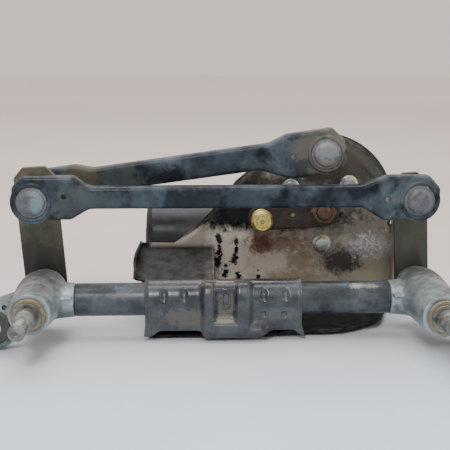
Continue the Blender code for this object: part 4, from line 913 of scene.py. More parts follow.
def clamp_relief(x, z):
    """How far the clamp's front stands out from its plain saddle: ribs, pocket, dimples and a rimmed slot."""

    def window(value, low, high, soft):
        half = soft / 2
        return smoothstep(value, low - half, low + half) * (1 - smoothstep(value, high - half, high + half))

    left_rib = window(x, -20.6, -12.2, 5.0)
    right_rib = window(x, 1.0, 11.4, 5.0)
    top = 1 - smoothstep(z, 34.5, 37.8)
    ribs = np.maximum(left_rib, right_rib) * top
    bridge = window(x, -20.0, 11.0, 2.4) * window(z, 32.4, 36.4, 1.6) * 0.55
    shelf = window(x, -20.6, 11.4, 5.0) * (1 - smoothstep(z, 11.5, 17.0))
    hump = window(x, -20.6, 23.0, 9.0) * (1 - smoothstep(z, 7.0, 15.0)) * 0.95
    raised = 5.2 * np.maximum(np.maximum(ribs, bridge), np.maximum(shelf, hump))
    fold = 0.4 * (1 - smoothstep(z, 9.5, 13.5))
    dimples = np.zeros_like(raised)
    for middle in (-45.5, -32.5, 19.7, 34.0):
        length = np.hypot((x - middle) / 3.0, np.maximum(np.abs(z - 30.6) - 1.2, 0.0) / 3.4)
        dimples += 2.0 * (1 - smoothstep(length, 0.2, 1.0))
    for middle in (19.5, 33.2):
        length = np.maximum(np.abs(x - middle) / 2.0, np.abs(z - 17.6) / 2.0)
        dimples += 1.3 * (1 - smoothstep(length, 0.6, 1.05))
    slot = np.hypot((x + 5.1) / 1.0, np.maximum(np.abs(z - 27.3) - 2.6, 0.0))
    dimples += 2.2 * (1 - smoothstep(slot, 1.4, 2.0)) - 0.9 * window(slot, 1.9, 3.1, 0.7)
    ends = 0.8 * (
        smoothstep(x, CLAMP_RIGHT - 2.2, CLAMP_RIGHT) + 1 - smoothstep(x, CLAMP_LEFT, CLAMP_LEFT + 2.2)
    )
    return raised + fold - dimples + ends


def make_clamp():
    """The pressed saddle as a grid along X and round the tube, from the front skirt to the rear foot."""
    columns, skirt_rows, arc_rows, rear_rows = 190, 34, 64, 22
    points = []
    for column in range(columns):
        x = CLAMP_LEFT + (CLAMP_RIGHT - CLAMP_LEFT) * column / (columns - 1)
        left_tab = 1 - smoothstep(x, -54.0, -48.0)
        right_tab = smoothstep(x, 39.5, 43.0)
        hump = smoothstep(x, -22.0, -18.0) * (1 - smoothstep(x, 14.0, 25.0))
        bottom = 7.2 - max(3.9 * max(left_tab, right_tab), 5.0 * hump)
        for row in range(skirt_rows):
            share = row / skirt_rows
            z = bottom + (TUBE_Z - bottom) * share
            stand = float(clamp_relief(np.array(x), np.array(z)))
            tuck = hump * max(0.0, 8.0 - z) ** 2 * 0.12
            flare = (0.5 * left_tab - right_tab) * max(0.0, 11.0 - z) * 0.25
            points.append((x - flare, -CLAMP_RADIUS - stand + tuck, z))
        for row in range(arc_rows):
            turn = pi - pi * row / (arc_rows - 1)
            z = TUBE_Z + CLAMP_RADIUS * sin(turn) if turn > pi / 2 else CLAMP_TOP
            reach = CLAMP_RADIUS + float(clamp_relief(np.array(x), np.array(z)))
            points.append((x, reach * cos(turn), TUBE_Z + reach * sin(turn)))
        for row in range(1, rear_rows + 1):
            share = row / rear_rows
            path = share * 31.0
            if path < 17.0:
                points.append((x, CLAMP_RADIUS, TUBE_Z - path))
            elif path < 21.0:
                turn = (path - 17.0) / 4.0 * pi / 2
                points.append((x, CLAMP_RADIUS + 3.0 * (1 - cos(turn)), TUBE_Z - 17.0 - 3.0 * sin(turn)))
            else:
                points.append((x, CLAMP_RADIUS + 3.0 + (path - 21.0) * 0.77, TUBE_Z - 20.0))
    rows = skirt_rows + arc_rows + rear_rows
    clamp = build("clamp", points, grid_faces(columns, rows), sharp=60.0)
    return smoothed(thickened(clamp, 1.9, -1.0), 50.0)


# Pivot housings and what sits in them


def make_housing(side):
    """A sand-textured casting: boss, neck with a parting ridge, ear with its rim, and machined bores."""
    sign = -1 if side == "left" else 1
    x, z = PIVOT[side].x, PIVOT[side].z
    front = FRONT_FACE[side]
    ear_x, ear_z = EAR[side].x, EAR[side].z
    boss_profile = [
        (0.0, HOUSING_REAR), (14.2, HOUSING_REAR), (16.6, 5.0), (16.6, -5.0), (14.6, front + 14.0),
        (13.2, front), (0.0, front),
    ]
    pieces = [lathe("boss", boss_profile, along("Y", x=x, z=z))]
    inner, outer = sign * (abs(x) - 4.0), sign * (TUBE_END + 0.3)
    neck = [(0.0, inner), (14.2, inner), (12.4, outer + sign * 12.0), (11.2, outer), (0.0, outer)]
    pieces.append(lathe("neck", neck if sign > 0 else neck[::-1], along("X", z=TUBE_Z)))
    pieces.append(slab("ear", hull_outline(x, z, 13.0, ear_x, ear_z, 15.2), -27.2, -17.8))
    rim = along("Y", x=ear_x, z=ear_z)
    pieces.append(tube_between("rim", 8.0, 13.2, -28.6, -16.4, rim))
    middle = x + sign * 12.4
    rib = [(x, z + 11.0), (middle, z + 2.8), (middle, z - 13.8), (x, z - 11.0)]
    pieces.append(slab("rib", rib, -19.0, -7.0))
    ridge_x = sorted((outer + sign * 1.0, x))
    pieces.append(block("ridge", (ridge_x[0], -14.6, TUBE_Z + 3.6), (ridge_x[1], 14.0, TUBE_Z + 6.0)))
    gusset = [(outer + sign * 4.0, TUBE_Z + 9.0), (x, z + 17.0), (x, TUBE_Z), (outer + sign * 4.0, TUBE_Z)]
    pieces.append(slab("gusset", gusset if sign < 0 else gusset[::-1], -2.2, 2.2))
    housing = cast(f"{side}_housing_casting", pieces, 0.75, 5)
    dimple = [(0.0, -33.0), (1.7, -33.0), (1.7, -25.0), (0.0, -24.4)]
    cuts = [
        lathe("bore", drum(8.3, front - 4.0, 30.0), along("Y", x=x, z=z), 48),
        tube_between("face", 8.0, 18.0, front - 5.0, front, along("Y", x=x, z=z), 48, 0.0),
        lathe("hole", drum(9.3, -45.0, -6.0), rim, 48),
        lathe("dimple", dimple, along("Y", x=x + sign * 17.6, z=z + 1.4), 20),
    ]
    boolean(housing, "DIFFERENCE", *cuts)
    stands_for(housing, f"{side}_pivot_housing", "frame", "casting")


def make_ear_parts(side):
    place = along("Y", x=EAR[side].x, z=EAR[side].z)
    low, high = -28.9, -16.1
    inner = 6.3
    profile = [
        (11.4, high + 2.2, 0.8), (11.4, high, 0.3), (9.0, high, 0.3), (9.0, low, 0.3), (11.4, low, 0.3),
        (11.4, low - 2.2, 0.8), (inner, low - 2.2, 0.3), (inner, high + 2.2, 0.3),
    ]
    stands_for(lathe(f"{side}_grommet", profile, place), f"{side}_ear_grommet", "frame", "rubber")
    sleeve = tube_between(f"{side}_sleeve", 4.4, 6.0, low - 2.6, high + 2.6, place, 48, 0.35)
    stands_for(sleeve, f"{side}_ear_sleeve", "frame", "bolt")


# Rockers


def make_rocker(side):
    front = FRONT_FACE[side]
    body = f"{side}_rocker"
    lean = Matrix.Translation((PIVOT[side].x, 0.0, PIVOT[side].z)) @ Matrix.Rotation(CRANK_LEAN, 4, "Y")
    place = lean @ along("Y")
    tip = span(f"{side}_spindle", "Y")[0]
    clear, back = ARM_RECESS
    knurl_high, knurl_low = front - 12.8, front - 21.2
    thread_high, thread_low = front - 22.4, tip + 1.4
    screw = thread(1.25, 0.34, 0.3)

    def relief(height, turn):
        if knurl_low <= height <= knurl_high:
            return 0.22 * abs(2 * ((turn * 36 / (2 * pi)) % 1.0) - 1.0) - 0.12
        return screw(height, turn) if thread_low <= height <= thread_high else 0.0

    profile = [
        (0.0, back + 3.0), (7.4, back + 3.0, 0.8), (8.4, back + 2.0), (8.4, back), (6.0, back),
        (6.0, clear), (8.6, clear), (8.6, HOUSING_REAR + 0.3), (6.0, HOUSING_REAR + 0.3),
        (6.0, front - 3.0), (5.2, front - 3.0), (5.2, front - 4.8), (6.4, front - 4.8), (6.4, front - 11.0),
        (6.0, front - 12.6), (5.25, front - 21.0, 0.1), (4.7, front - 21.6, 0.1), (4.7, front - 22.4, 0.0),
        (5.0, front - 22.5, 0.0), (5.0, tip + 1.3, 0.0), (3.8, tip, 0.2), (1.4, tip, 0.1), (0.0, tip + 1.0),
    ]
    spindle = lathe(
        f"{side}_knurled_spindle", profile, place, 144, relief=(tip + 1.3, front - 12.6, relief),
        spacing=0.2,
    )
    stands_for(spindle, f"{side}_spindle", body, "steel")
    washer = tube_between(f"{side}_washer", 6.3, 10.6, front - 2.8, front - 0.3, place, 72, 0.5)
    stands_for(washer, f"{side}_thrust_washer", body, "washer")

    if side == "left":
        half, shift, top = 14.1, 0.0, CRANK_RADIUS + 21.4
    else:
        half, shift, top = 11.6, -1.4, CRANK_RADIUS + 16.6
    corners = [
        (shift - half, -4.0, 0.0), (shift - half, top - 7.0, 2.0), (shift - half + 6.6, top, 2.0),
        (shift + half - 6.6, top, 2.0), (shift + half, top - 7.0, 2.0), (shift + half, -4.0, 0.0),
        (shift + half - 1.0, -9.0, 2.0), (shift + 6.0, -13.5, 3.0), (shift - 6.0, -13.5, 3.0),
        (shift - half + 1.0, -9.0, 2.0),
    ]
    corners.reverse()
    holes = [circle(0.0, 0.0, 6.3), circle(0.0, CRANK_RADIUS, 5.3)]
    crank = slab(
        f"{side}_crank_plate", rounded(corners, 5), ARM_FRONT, ARM_BACK, place=lean, bevel=0.7, holes=holes,
    )
    stands_for(crank, f"{side}_crank_arm", body, "olive")
    make_ball_stud(side, body, lean)


def ball_arc(ball_y, start, end, count=18):
    """The ball's profile between two angles from its rear pole."""
    turns = [radians(start + (end - start) * i / count) for i in range(count + 1)]
    return [(BALL_RADIUS * sin(turn), ball_y + BALL_RADIUS * cos(turn), 0.0) for turn in turns]


def make_ball_stud(side, body, lean):
    front, back = ARM_RECESS
    neck = 33.4
    if side == "left":
        ball = ball_arc(REAR_BALL_Y, 22.0, 180.0 - neck)
        rear = [(0.0, ball[0][1]), *ball, (4.4, back + 1.4)]
        node = "left_double_ball_stud"
    else:
        rear = [(0.0, back + 2.6), (6.4, back + 2.6, 1.0)]
        node = "right_ball_stud"
    middle = [(7.4, back + 1.4), (7.4, back), (5.0, back), (5.0, front), (7.4, front), (7.4, front - 1.2)]
    ball = ball_arc(FRONT_BALL_Y, neck, 158.0)
    profile = [*rear, *middle, *ball, (0.0, ball[-1][1])]
    stud = lathe(f"{side}_rocker_ball", profile, lean @ along("Y", z=CRANK_RADIUS), 48)
    stands_for(stud, node, body, "bolt")


# Links


def make_link(name, corners, web, depth, ends, holes, place):
    """A pressed channel with rounded bends, open towards +Y, and a raised collar round each socket."""
    wall, bend = 2.0, 3.2
    back = web + depth
    outline = [turned_left(rounded(inset(corners, distance), 6)) for distance in (0.0, wall)]
    outer, inner = [], []
    for step in range(7):
        turn = pi / 2 * step / 6
        loop = rounded(inset(corners, bend * (1 - cos(turn))), 6)
        outer.append((turned_left(loop), web + bend * (1 - sin(turn))))
        loop = rounded(inset(corners, wall + (bend - wall) * (1 - cos(turn))), 6)
        inner.append((turned_left(loop), web + wall + (bend - wall) * (1 - sin(turn))))
    stack = outer[::-1] + [(outline[0], back - 0.4)]
    middle = turned_left(rounded(inset(corners, 0.4), 6))
    stack += [
        (middle, back), (turned_left(rounded(inset(corners, wall - 0.4), 6)), back),
        (outline[1], back - 0.4),
    ]
    stack += inner
    loops = [stack]
    for x, z, radius in [(x, 0.0, 10.4) for x, _ in ends] + [(x, z, 1.7) for x, z in holes]:
        hole = list(reversed(circle(x, z, radius, 56)))
        wide = list(reversed(circle(x, z, radius + 0.4, 56)))
        loops.append([(wide, web), (hole, web + 0.4), (hole, web + wall)])
    rod = layered(name, loops, place=place)
    collars = []
    for x, side in ends:
        face = web if side < 0 else web + wall
        lip = -1.5 if side < 0 else 1.5
        profile = [
            (10.4, face - lip * 0.6, 0.0), (10.4, face + lip, 0.3), (12.2, face + lip, 0.6),
            (12.8, face + lip * 0.2, 0.4), (14.2, face - lip * 0.02, 0.0), (14.2, face - lip * 0.3, 0.0),
        ]
        if side > 0:
            profile.reverse()
        collars.append(lathe(f"{name}_collar", profile, place @ along("Y", x=x), 72))
    return joined(rod, *collars)


def make_socket(name, node, body, x, ball_y, mouth, place):
    """A domed plastic socket: its cavity opens towards +Y where mouth is 1."""
    turns = [radians(160.0 - 109.0 * i / 12) for i in range(13)]
    inside = [(8.5 * sin(turn), 8.5 * cos(turn), 0.0) for turn in turns]
    rim = inside[-1][1]
    outside = [
        (9.4, rim, 0.3), (10.2, rim - 1.0, 0.3), (10.2, -8.9, 0.3), (8.6, -9.1, 0.3), (8.2, -11.2, 2.0),
        (5.6, -12.4, 2.5), (0.0, -12.8),
    ]
    section = [(r, ball_y + mouth * h, f) for r, h, f in [(0.0, inside[0][1], 0.0), *inside, *outside[:-1]]]
    section.append((0.0, ball_y + mouth * outside[-1][1]))
    if mouth < 0:
        section.reverse()
    stands_for(lathe(name, section, place @ along("Y", x=x), 72), node, body, "socket")


def make_front_link():
    place = Matrix.Translation((LEFT_BALL.x, FRONT_BALL_Y, LEFT_BALL.z))
    length = RIGHT_BALL.x - LEFT_BALL.x
    corners = [
        (-13.4, -12.0, 11.0), (25.0, -12.0, 6.0), (37.0, -4.9, 11.0), (218.0, -4.9, 11.0),
        (232.0, -13.6, 6.0), (length + 14.6, -13.6, 12.5), (length + 14.6, 8.0, 4.2),
        (length + 7.0, 16.4, 4.2), (234.0, 16.4, 12.0), (217.0, 9.8, 12.0), (37.0, 9.8, 10.0),
        (27.0, 17.0, 7.0), (-6.0, 17.0, 5.0), (-13.4, 10.0, 6.0),
    ]
    web = -7.5
    holes = [(20.8, 3.4), (length - 20.6, 0.9)]
    rod = make_link("front_link_channel", corners, web, 9.0, [(0.0, -1), (length, -1)], holes, place)
    stands_for(rod, "front_link_rod", "front_link", "front_link")
    make_socket("front_link_left_cap", "front_link_left_socket", "front_link", 0.0, 0.0, 1, place)
    make_socket("front_link_right_cap", "front_link_right_socket", "front_link", length, 0.0, 1, place)


def make_motor_link():
    """The link to the motor, whose right socket hangs free over the bracket."""
    rise, yaw, length, web = radians(8.33), radians(3.1), 198.2, 2.5
    place = Matrix.Translation((LEFT_BALL.x, REAR_BALL_Y, LEFT_BALL.z))
    place = place @ Matrix.Rotation(-yaw, 4, "Z") @ Matrix.Rotation(-rise, 4, "Y")
    corners = [
        (-13.4, -12.0, 11.0), (24.0, -12.0, 6.0), (36.0, -4.6, 10.0), (152.0, -5.0, 14.0),
        (172.0, -14.0, 10.0), (length + 13.6, -14.0, 12.5), (length + 13.6, 8.0, 4.2),
        (length + 6.0, 17.0, 4.0), (173.0, 17.0, 5.0), (160.0, 12.6, 14.0), (38.0, 13.0, 12.0),
        (26.0, 17.0, 7.0), (-6.0, 17.0, 5.0), (-13.4, 10.0, 6.0),
    ]
    rod = make_link(
        "motor_link_channel", corners, web, 8.0, [(0.0, 1), (length, -1)], [(length - 22.3, 1.6)], place,
    )
    stands_for(rod, "motor_link_rod", "motor_link", "motor_link")
    make_socket("motor_link_left_cap", "motor_link_left_socket", "motor_link", 0.0, 0.0, -1, place)
    make_socket(
        "motor_link_right_cap", "motor_link_right_socket", "motor_link", length, web + 7.5, 1, place,
    )


# Motor crank


def hexagon_nut(name, across, low, high, bore, place, flange=None):
    """A six-sided nut or head with chamfered corners. flange is its washer's (radius, thickness)."""
    radius = across / 2 / cos(pi / 6)
    loop = [(radius * cos(pi / 3 * i), radius * sin(pi / 3 * i)) for i in range(6)]
    fine = []
    for (x1, z1), (x2, z2) in zip(loop, loop[1:] + loop[:1]):
        fine += [(x1 + (x2 - x1) * i / 10, z1 + (z2 - z1) * i / 10) for i in range(10)]

    def cone(limit):
        return [(x * min(1.0, limit / hypot(x, z)), z * min(1.0, limit / hypot(x, z))) for x, z in fine]

    stack = [(cone(across * 0.47), low)]
    stack += [(cone(across * (0.47 + 0.108 * i / 6)), low + 1.1 * (i / 6) ** 1.3) for i in range(1, 7)]
    stack += [(cone(radius), high - 0.4), (cone(radius - 0.25), high)]
    stacks = [[(turned_left(layer), height) for layer, height in stack]]
    if bore:
        hole = [list(reversed(circle(0.0, 0.0, bore + grow, 40))) for grow in (0.7, 0.0)]
        stacks.append([(hole[0], low), (hole[1], low + 0.7), (hole[1], high)])
    nut = layered(name, stacks, place=place)
    if flange:
        reach, thick = flange
        inner = bore or 2.0
        ring = [(inner, high + thick, 0.0), (inner, high, 0.0), (across * 0.5, high - 0.2, 0.0)]
        ring += [
            (reach - 0.5, high + thick * 0.45, 0.3), (reach, high + thick * 0.6, 0.3),
            (reach, high + thick, 0.1),
        ]
        joined(nut, lathe("flange", ring, place @ along("Y"), 48))
    return nut


def make_motor_crank():
    place = Matrix.Translation((HUB.x, 0.0, HUB.z))
    ball_x, ball_z = MOTOR_BALL.x - HUB.x, MOTOR_BALL.z - HUB.z
    front, back = span("motor_crank_arm", "Y")
    outline = hull_outline(0.0, 0.0, 12.5, ball_x, ball_z, 9.2)
    holes = [circle(0.0, 0.0, 5.3), circle(ball_x, ball_z, 5.3)]
    arm = slab("motor_crank_plate", outline, front, back, place=place, bevel=0.8, holes=holes)
    stands_for(arm, "motor_crank_arm", "motor_crank", "crank")

    at_ball = place @ Matrix.Translation((ball_x, 0.0, ball_z)) @ along("Y")
    ball = ball_arc(44.0, 33.4, 180.0 - 48.6)
    flat = ball[-1][1]
    profile = [
        (0.0, back + 1.5), (6.6, back + 1.5, 1.0), (6.6, back + 0.3), (5.0, back + 0.3), (5.0, front - 0.3),
        (7.0, front - 0.3), (7.0, front - 1.7, 0.5), (4.4, front - 1.7), *ball, (4.4, flat, 0.1),
        (4.2, flat + 0.25, 0.1), (3.9, flat, 0.1), (1.5, flat, 0.1), (1.1, flat + 0.9, 0.2),
        (0.0, flat + 1.2),
    ]
    stud = lathe("motor_crank_ball", profile, at_ball, 64)
    stands_for(stud, "motor_crank_ball_stud", "motor_crank", "yellow")

    low, high = span("motor_crank_nut", "Y")
    nut = hexagon_nut("crank_nut", 16.0, low, high, 5.3, place)
    stands_for(nut, "motor_crank_nut", "motor_crank", "rusty")
    washer = tube_between("crank_washer", 5.3, 8.8, high + 0.3, front - 0.3, place @ along("Y"), 48, 0.4)
    stands_for(washer, "motor_crank_washer", "motor_crank", "rusty")

    tip, end = span("output_shaft", "Y")
    profile = [
        (0.0, end), (5.0, end, 0.5), (5.0, 95.2), (6.0, 95.2), (6.0, back + 0.3), (5.0, back + 0.3, 0.0),
        (5.0, tip + 1.0, 0.0), (4.0, tip, 0.2), (1.3, tip, 0.1), (0.0, tip + 0.9),
    ]
    relief = (tip + 1.0, 51.0, thread(1.25, 0.3, 0.3))
    shaft = lathe("threaded_output_shaft", profile, place @ along("Y"), 96, relief=relief, spacing=0.2)
    stands_for(shaft, "output_shaft", "motor_crank", "rusty")


# Bracket and bolts


def make_bracket():
    """The pressed wall with its raised dish and rolled rim, the base with its lip, and the scoop."""
    left, right = -61.0, HUB.x + ARC_RADIUS
    crest = arc(HUB.x, HUB.z, ARC_RADIUS, -14.0, 128.0, 60)
    outline = [(left + 3.0, 1.2), (right, 1.2), (right, 60.0), *crest]
    outline += [(4.7, 93.5), (-6.0, 79.0), (-24.0, 60.5), (-36.0, 50.6), (-45.4, 44.3), (left + 3.0, 41.0)]
    bolt_spots = [centre(f"motor_mount_bolt_{i}") for i in (1, 2, 3)]
    holes = [circle(HUB.x, HUB.z, 14.6, 40)] + [circle(spot.x, spot.z, 3.4, 20) for spot in bolt_spots]

    def relief(x, z, edge):
        away = np.hypot(x - HUB.x, z - HUB.z)
        dish = -1.5 * (1 - smoothstep(away, 46.0, 49.5))
        below = smoothstep(z, 34.0, 58.0)
        dish = dish * below - 1.5 * (1 - below) * smoothstep(x, 0.0, 20.0)
        upper = smoothstep(z, 40.0, 62.0)
        rim = 3.2 * (1 - smoothstep(edge, 0.3, 4.2)) * upper
        rib_way = ((x - 97.0) * 0.7 + (z - 107.0) * -0.71, (x - 97.0) * 0.71 + (z - 107.0) * 0.7)
        rib = -1.1 * np.exp(-((rib_way[1] / 1.3) ** 2)) * smoothstep(rib_way[0], -1.0, 1.5)
        rib *= 1 - smoothstep(rib_way[0], 13.0, 16.0)
        foot = -3.5 * (1 - smoothstep(z, 2.5, 8.0)) ** 2
        dents = 0.25 * np.sin(x * 0.21 + 1.3) * np.sin(z * 0.17)
        return dish + rim + rib + foot + dents * (1 - upper)

    wall = pressed("bracket_sheet", outline, WALL_Y, SHEET, relief, holes=holes)

    base_corners = [
        (-58.0, -8.0, 6.0), (74.0, -7.0, 40.0), (104.0, 13.0, 24.0), (115.0, 44.0, 24.0),
        (116.0, 108.0, 12.0), (-58.0, 108.0, 12.0),
    ]
    base_outline = rounded(base_corners, 12)

    def base_relief(x, y, edge):
        lip = 2.6 * (1 - smoothstep(edge, 0.2, 3.4)) * smoothstep(x, 22.0, 46.0) * (
            1 - smoothstep(y, 66.0, 80.0)
        )
        panel = -0.6 * smoothstep(edge, 8.0, 12.0)
        return lip + panel + 0.6

    base = pressed("bracket_base", base_outline, 0.0, SHEET - 0.6, base_relief, "XY", 1.8)

    flange_outline = rounded([(57.0, 4.0, 3.0), (68.6, 4.0, 1.0), (68.6, 66.0, 1.0), (57.0, 58.0, 6.0)], 6)
    flange = slab("flange", flange_outline, right - 1.2, right + 1.4, "YZ", bevel=0.6)

    section = filleted(
        [(67.2, 48.0), (66.4, 43.4, 6.0), (54.0, 36.6, 14.0), (42.0, 30.8, 16.0), (32.0, 28.4)], False, 8,
    )
    tops = [(67.2, 49.0), (58.0, 45.5), (48.0, 41.5), (38.0, 36.0), (31.0, 29.4)]
    columns = []
    for step in range(13):
        columns.append((-12.0 - (59.5 - 12.0) * step / 12, 0.0))
    for step in range(1, 9):
        turn = pi / 2 * step / 8
        columns.append((-59.5 - 9.0 * sin(turn), 1 - cos(turn)))
    points = []
    for x, climb in columns:
        for y, z in section:
            limit = float(np.interp(-y, [-top[0] for top in tops], [top[1] for top in tops]))
            sag = 0.8 * sin(pi * min(1.0, max(0.0, (-12.0 - x) / 50.0)))
            rounding = 3.0 * climb * smoothstep(y, 52.0, 67.0)
            points.append((x + rounding, y, z + climb * max(0.6, limit - z) - sag * (1 - climb) * 0.5))
    scoop = build("scoop", points, grid_faces(len(columns), len(section)), sharp=60.0)
    thickened(scoop, 1.6, 0.0)

    lip = [(-12.5, 32.0, 27.9), (-30.0, 31.6, 27.5), (-50.0, 31.6, 27.4), (-60.0, 32.0, 27.8)]
    lip += [
        (-65.8, 35.0, 30.4), (-68.3, 41.0, 35.5), (-68.6, 48.0, 41.0), (-67.4, 57.0, 44.6),
        (-65.4, 65.5, 48.0),
    ]
    second = [(x + 0.6, y + 3.2, z - 2.2) for x, y, z in lip[:7]]
    bars = [bar("lip", lip, 1.25), bar("second_lip", second, 0.8)]
    bracket = joined(wall, base, flange, scoop, *bars)
    bracket.name = "pressed_bracket"
    stands_for(bracket, "motor_bracket", "frame", "bracket")


def bar(name, points, radius, sides=12):
    """A round bar along a smooth line through points."""
    curve = bpy.data.curves.new(name, "CURVE")
    curve.dimensions = "3D"
    curve.bevel_depth = radius * MM
    curve.bevel_resolution = sides // 4
    curve.use_fill_caps = True
    spline = curve.splines.new("BEZIER")
    spline.bezier_points.add(len(points) - 1)
    for point, place in zip(spline.bezier_points, points):
        point.co = Vector(place) * MM
        point.handle_left_type = point.handle_right_type = "AUTO"
    drawn = bpy.data.objects.new(name, curve)
    bpy.context.scene.collection.objects.link(drawn)
    mesh = bpy.data.meshes.new_from_object(drawn.evaluated_get(bpy.context.evaluated_depsgraph_get()))
    bpy.data.objects.remove(drawn)
    obj = bpy.data.objects.new(name, mesh)
    bpy.context.scene.collection.objects.link(obj)
    return obj


def make_bolts():
    for index in (1, 2, 3):
        node = f"motor_mount_bolt_{index}"
        spot = centre(node)
        low, high = span(node, "Y")
        place = Matrix.Translation((spot.x, 0.0, spot.z)) @ Matrix.Rotation(radians(index * 23), 4, "Y")
        head = hexagon_nut(node + "_head", 10.0, low, low + 4.2, 0.0, place, flange=(6.8, 1.5))
        profile = [(0.0, high), (2.3, high, 0.2), (3.0, high - 0.9), (3.0, low + 4.0), (0.0, low + 4.0)]
        relief = (low + 8.0, high - 1.0, thread(1.0, 0.24, 0.24))
        shank = lathe("shank", profile, place @ along("Y"), 40, relief=relief, spacing=0.25)
        stands_for(joined(head, shank), node, "frame", "bolt")


# Gear motor


def spoke(x, z, near, far, half):
    """The outline of a rib that points away from the hub along x, z."""
    near, far = (Vector((HUB.x + reach * x, HUB.z + reach * z)) for reach in (near, far))
    side = Vector((-z, x)) * half
    return [tuple(near + side), tuple(near - side), tuple(far - side), tuple(far + side)]


def make_gear_housing():
    hub, worm_z, worm_y = along("Y", x=HUB.x, z=HUB.z), CAN.z, CAN.y
    worm = along("X", y=worm_y, z=worm_z)
    bolt_spots = [centre(f"motor_mount_bolt_{i}") for i in (1, 2, 3)]
    screw_spots = [centre(f"gear_cover_screw_{i}") for i in (1, 2, 3)]
    back = span("gear_cover", "Y")[0] - 0.3
    left = span("gear_housing", "X")[0]
    cup = [(0.0, 88.6), (30.5, 88.6, 2.0), (32.2, 94.0), (32.2, back + 1.0), (0.0, back + 1.0)]
    pieces = [lathe("cup", cup, hub)]
    pieces.append(lathe("boss", [(0.0, 60.2), (13.4, 60.2, 1.0), (13.9, 90.0), (0.0, 90.0)], hub))
    pieces.append(lathe("worm", [(0.0, 28.0), (11.2, 28.0), (10.8, 99.0, 3.0), (0.0, 99.0)], worm))
    flange = [(0.0, left), (CAN_RADIUS, left, 0.6), (CAN_RADIUS, left + 3.5, 0.6), (0.0, left + 3.5)]
    pieces.append(lathe("can_flange", flange, worm))
    pieces.append(block("block", (34.0, 89.0, 38.0), (99.0, back + 1.0, 66.0), 2.0))
    pad = [(0.0, 69.0), (6.6, 69.0), (7.2, 91.0), (0.0, 91.0)]
    for spot in bolt_spots:
        pieces.append(lathe("pad", pad, along("Y", x=spot.x, z=spot.z)))
    for turn in range(0, 360, 45):
        x, z = cos(radians(turn)), sin(radians(turn))
        pieces.append(slab("rib", spoke(x, z, 12.0, 30.0, 1.1), 84.0, 90.5, bevel=0.3))
    for x in (46.0, 62.0, 78.0):
        outline = [(worm_y - 12.8, worm_z - 9.0), (worm_y + 4.0, worm_z - 12.5), (worm_y + 4.0, worm_z)]
        pieces.append(slab("rib", [*outline, (worm_y - 12.8, worm_z)], x - 1.1, x + 1.1, "YZ", bevel=0.3))
    housing = cast("gear_housing_casting", pieces, 0.9, 4)
    cuts = [
        block("face", (left + 4.3, back, 20.0), (110.0, back + 8.0, 118.0), 0.1),
        lathe("cavity", drum(28.2, 92.0, back + 3.0), hub, 96),
        lathe("worm_bore", drum(7.0, 24.0, 95.0), worm, 48),
        lathe("shaft_bore", drum(8.8, 55.0, 93.0), hub, 48),
    ]
    for spot in bolt_spots:
        cuts.append(lathe("hole", drum(3.3, 66.0, 84.0), along("Y", x=spot.x, z=spot.z), 24))
    for spot in screw_spots:
        cuts.append(lathe("hole", drum(1.8, 104.0, back + 3.0), along("Y", x=spot.x, z=spot.z), 16))
    boolean(housing, "DIFFERENCE", *cuts)
    stands_for(housing, "gear_housing", "frame", "casting")


def make_gear_cover():
    low, high = span("gear_cover", "Y")
    face = low + 2.4
    crest = arc(HUB.x, HUB.z, 32.0, -8.0, 188.0, 48)
    screws = [centre(f"gear_cover_screw_{i}") for i in (1, 2, 3)]
    holes = [circle(spot.x, spot.z, 1.9, 20) for spot in screws]
    cover = slab("cover_plate", [(34.0, 38.0), (99.0, 38.0), *crest], low, face, bevel=0.6, holes=holes)
    place = along("Y", x=HUB.x, z=HUB.z)
    dome = [(0.0, high), (12.0, high, 1.2), (15.0, face, 0.5), (16.5, face - 0.3), (0.0, face - 0.3)]
    extras = [lathe("dome", dome, place)]
    extras.append(tube_between("ring", 20.0, 21.6, face - 0.3, face + 1.0, place, 72, 0.4))
    for turn in range(15, 375, 30):
        x, z = cos(radians(turn)), sin(radians(turn))
        if HUB.z + 28.5 * z > 42.0 and not 60 < turn % 360 < 120:
            extras.append(slab("rib", spoke(x, z, 14.0, 28.5, 0.7), face - 0.3, face + 0.9, bevel=0.25))
    for spot in screws:
        extras.append(
            tube_between("boss", 3.8, 5.2, face - 0.3, face + 0.5, along("Y", x=spot.x, z=spot.z), 32, 0.2)
        )
    stands_for(joined(cover, *extras), "gear_cover", "frame", "plastic")

    for index, spot in enumerate(screws, 1):
        low, high = span(f"gear_cover_screw_{index}", "Y")
        seat = high - 2.2
        place = along("Y", x=spot.x, z=spot.z)
        head = [
            (0.0, high - 1.2), (1.9, high - 1.2, 0.1), (2.0, high, 0.1), (2.9, high, 0.5),
            (3.4, seat + 0.6, 0.3),
        ]
        profile = [*head, (3.4, seat), (1.5, seat), (1.5, low + 1.0), (0.6, low), (0.0, low)]
        screw = lathe(f"cover_screw_{index}", profile, place, 36)
        stands_for(screw, f"gear_cover_screw_{index}", "frame", "bolt")


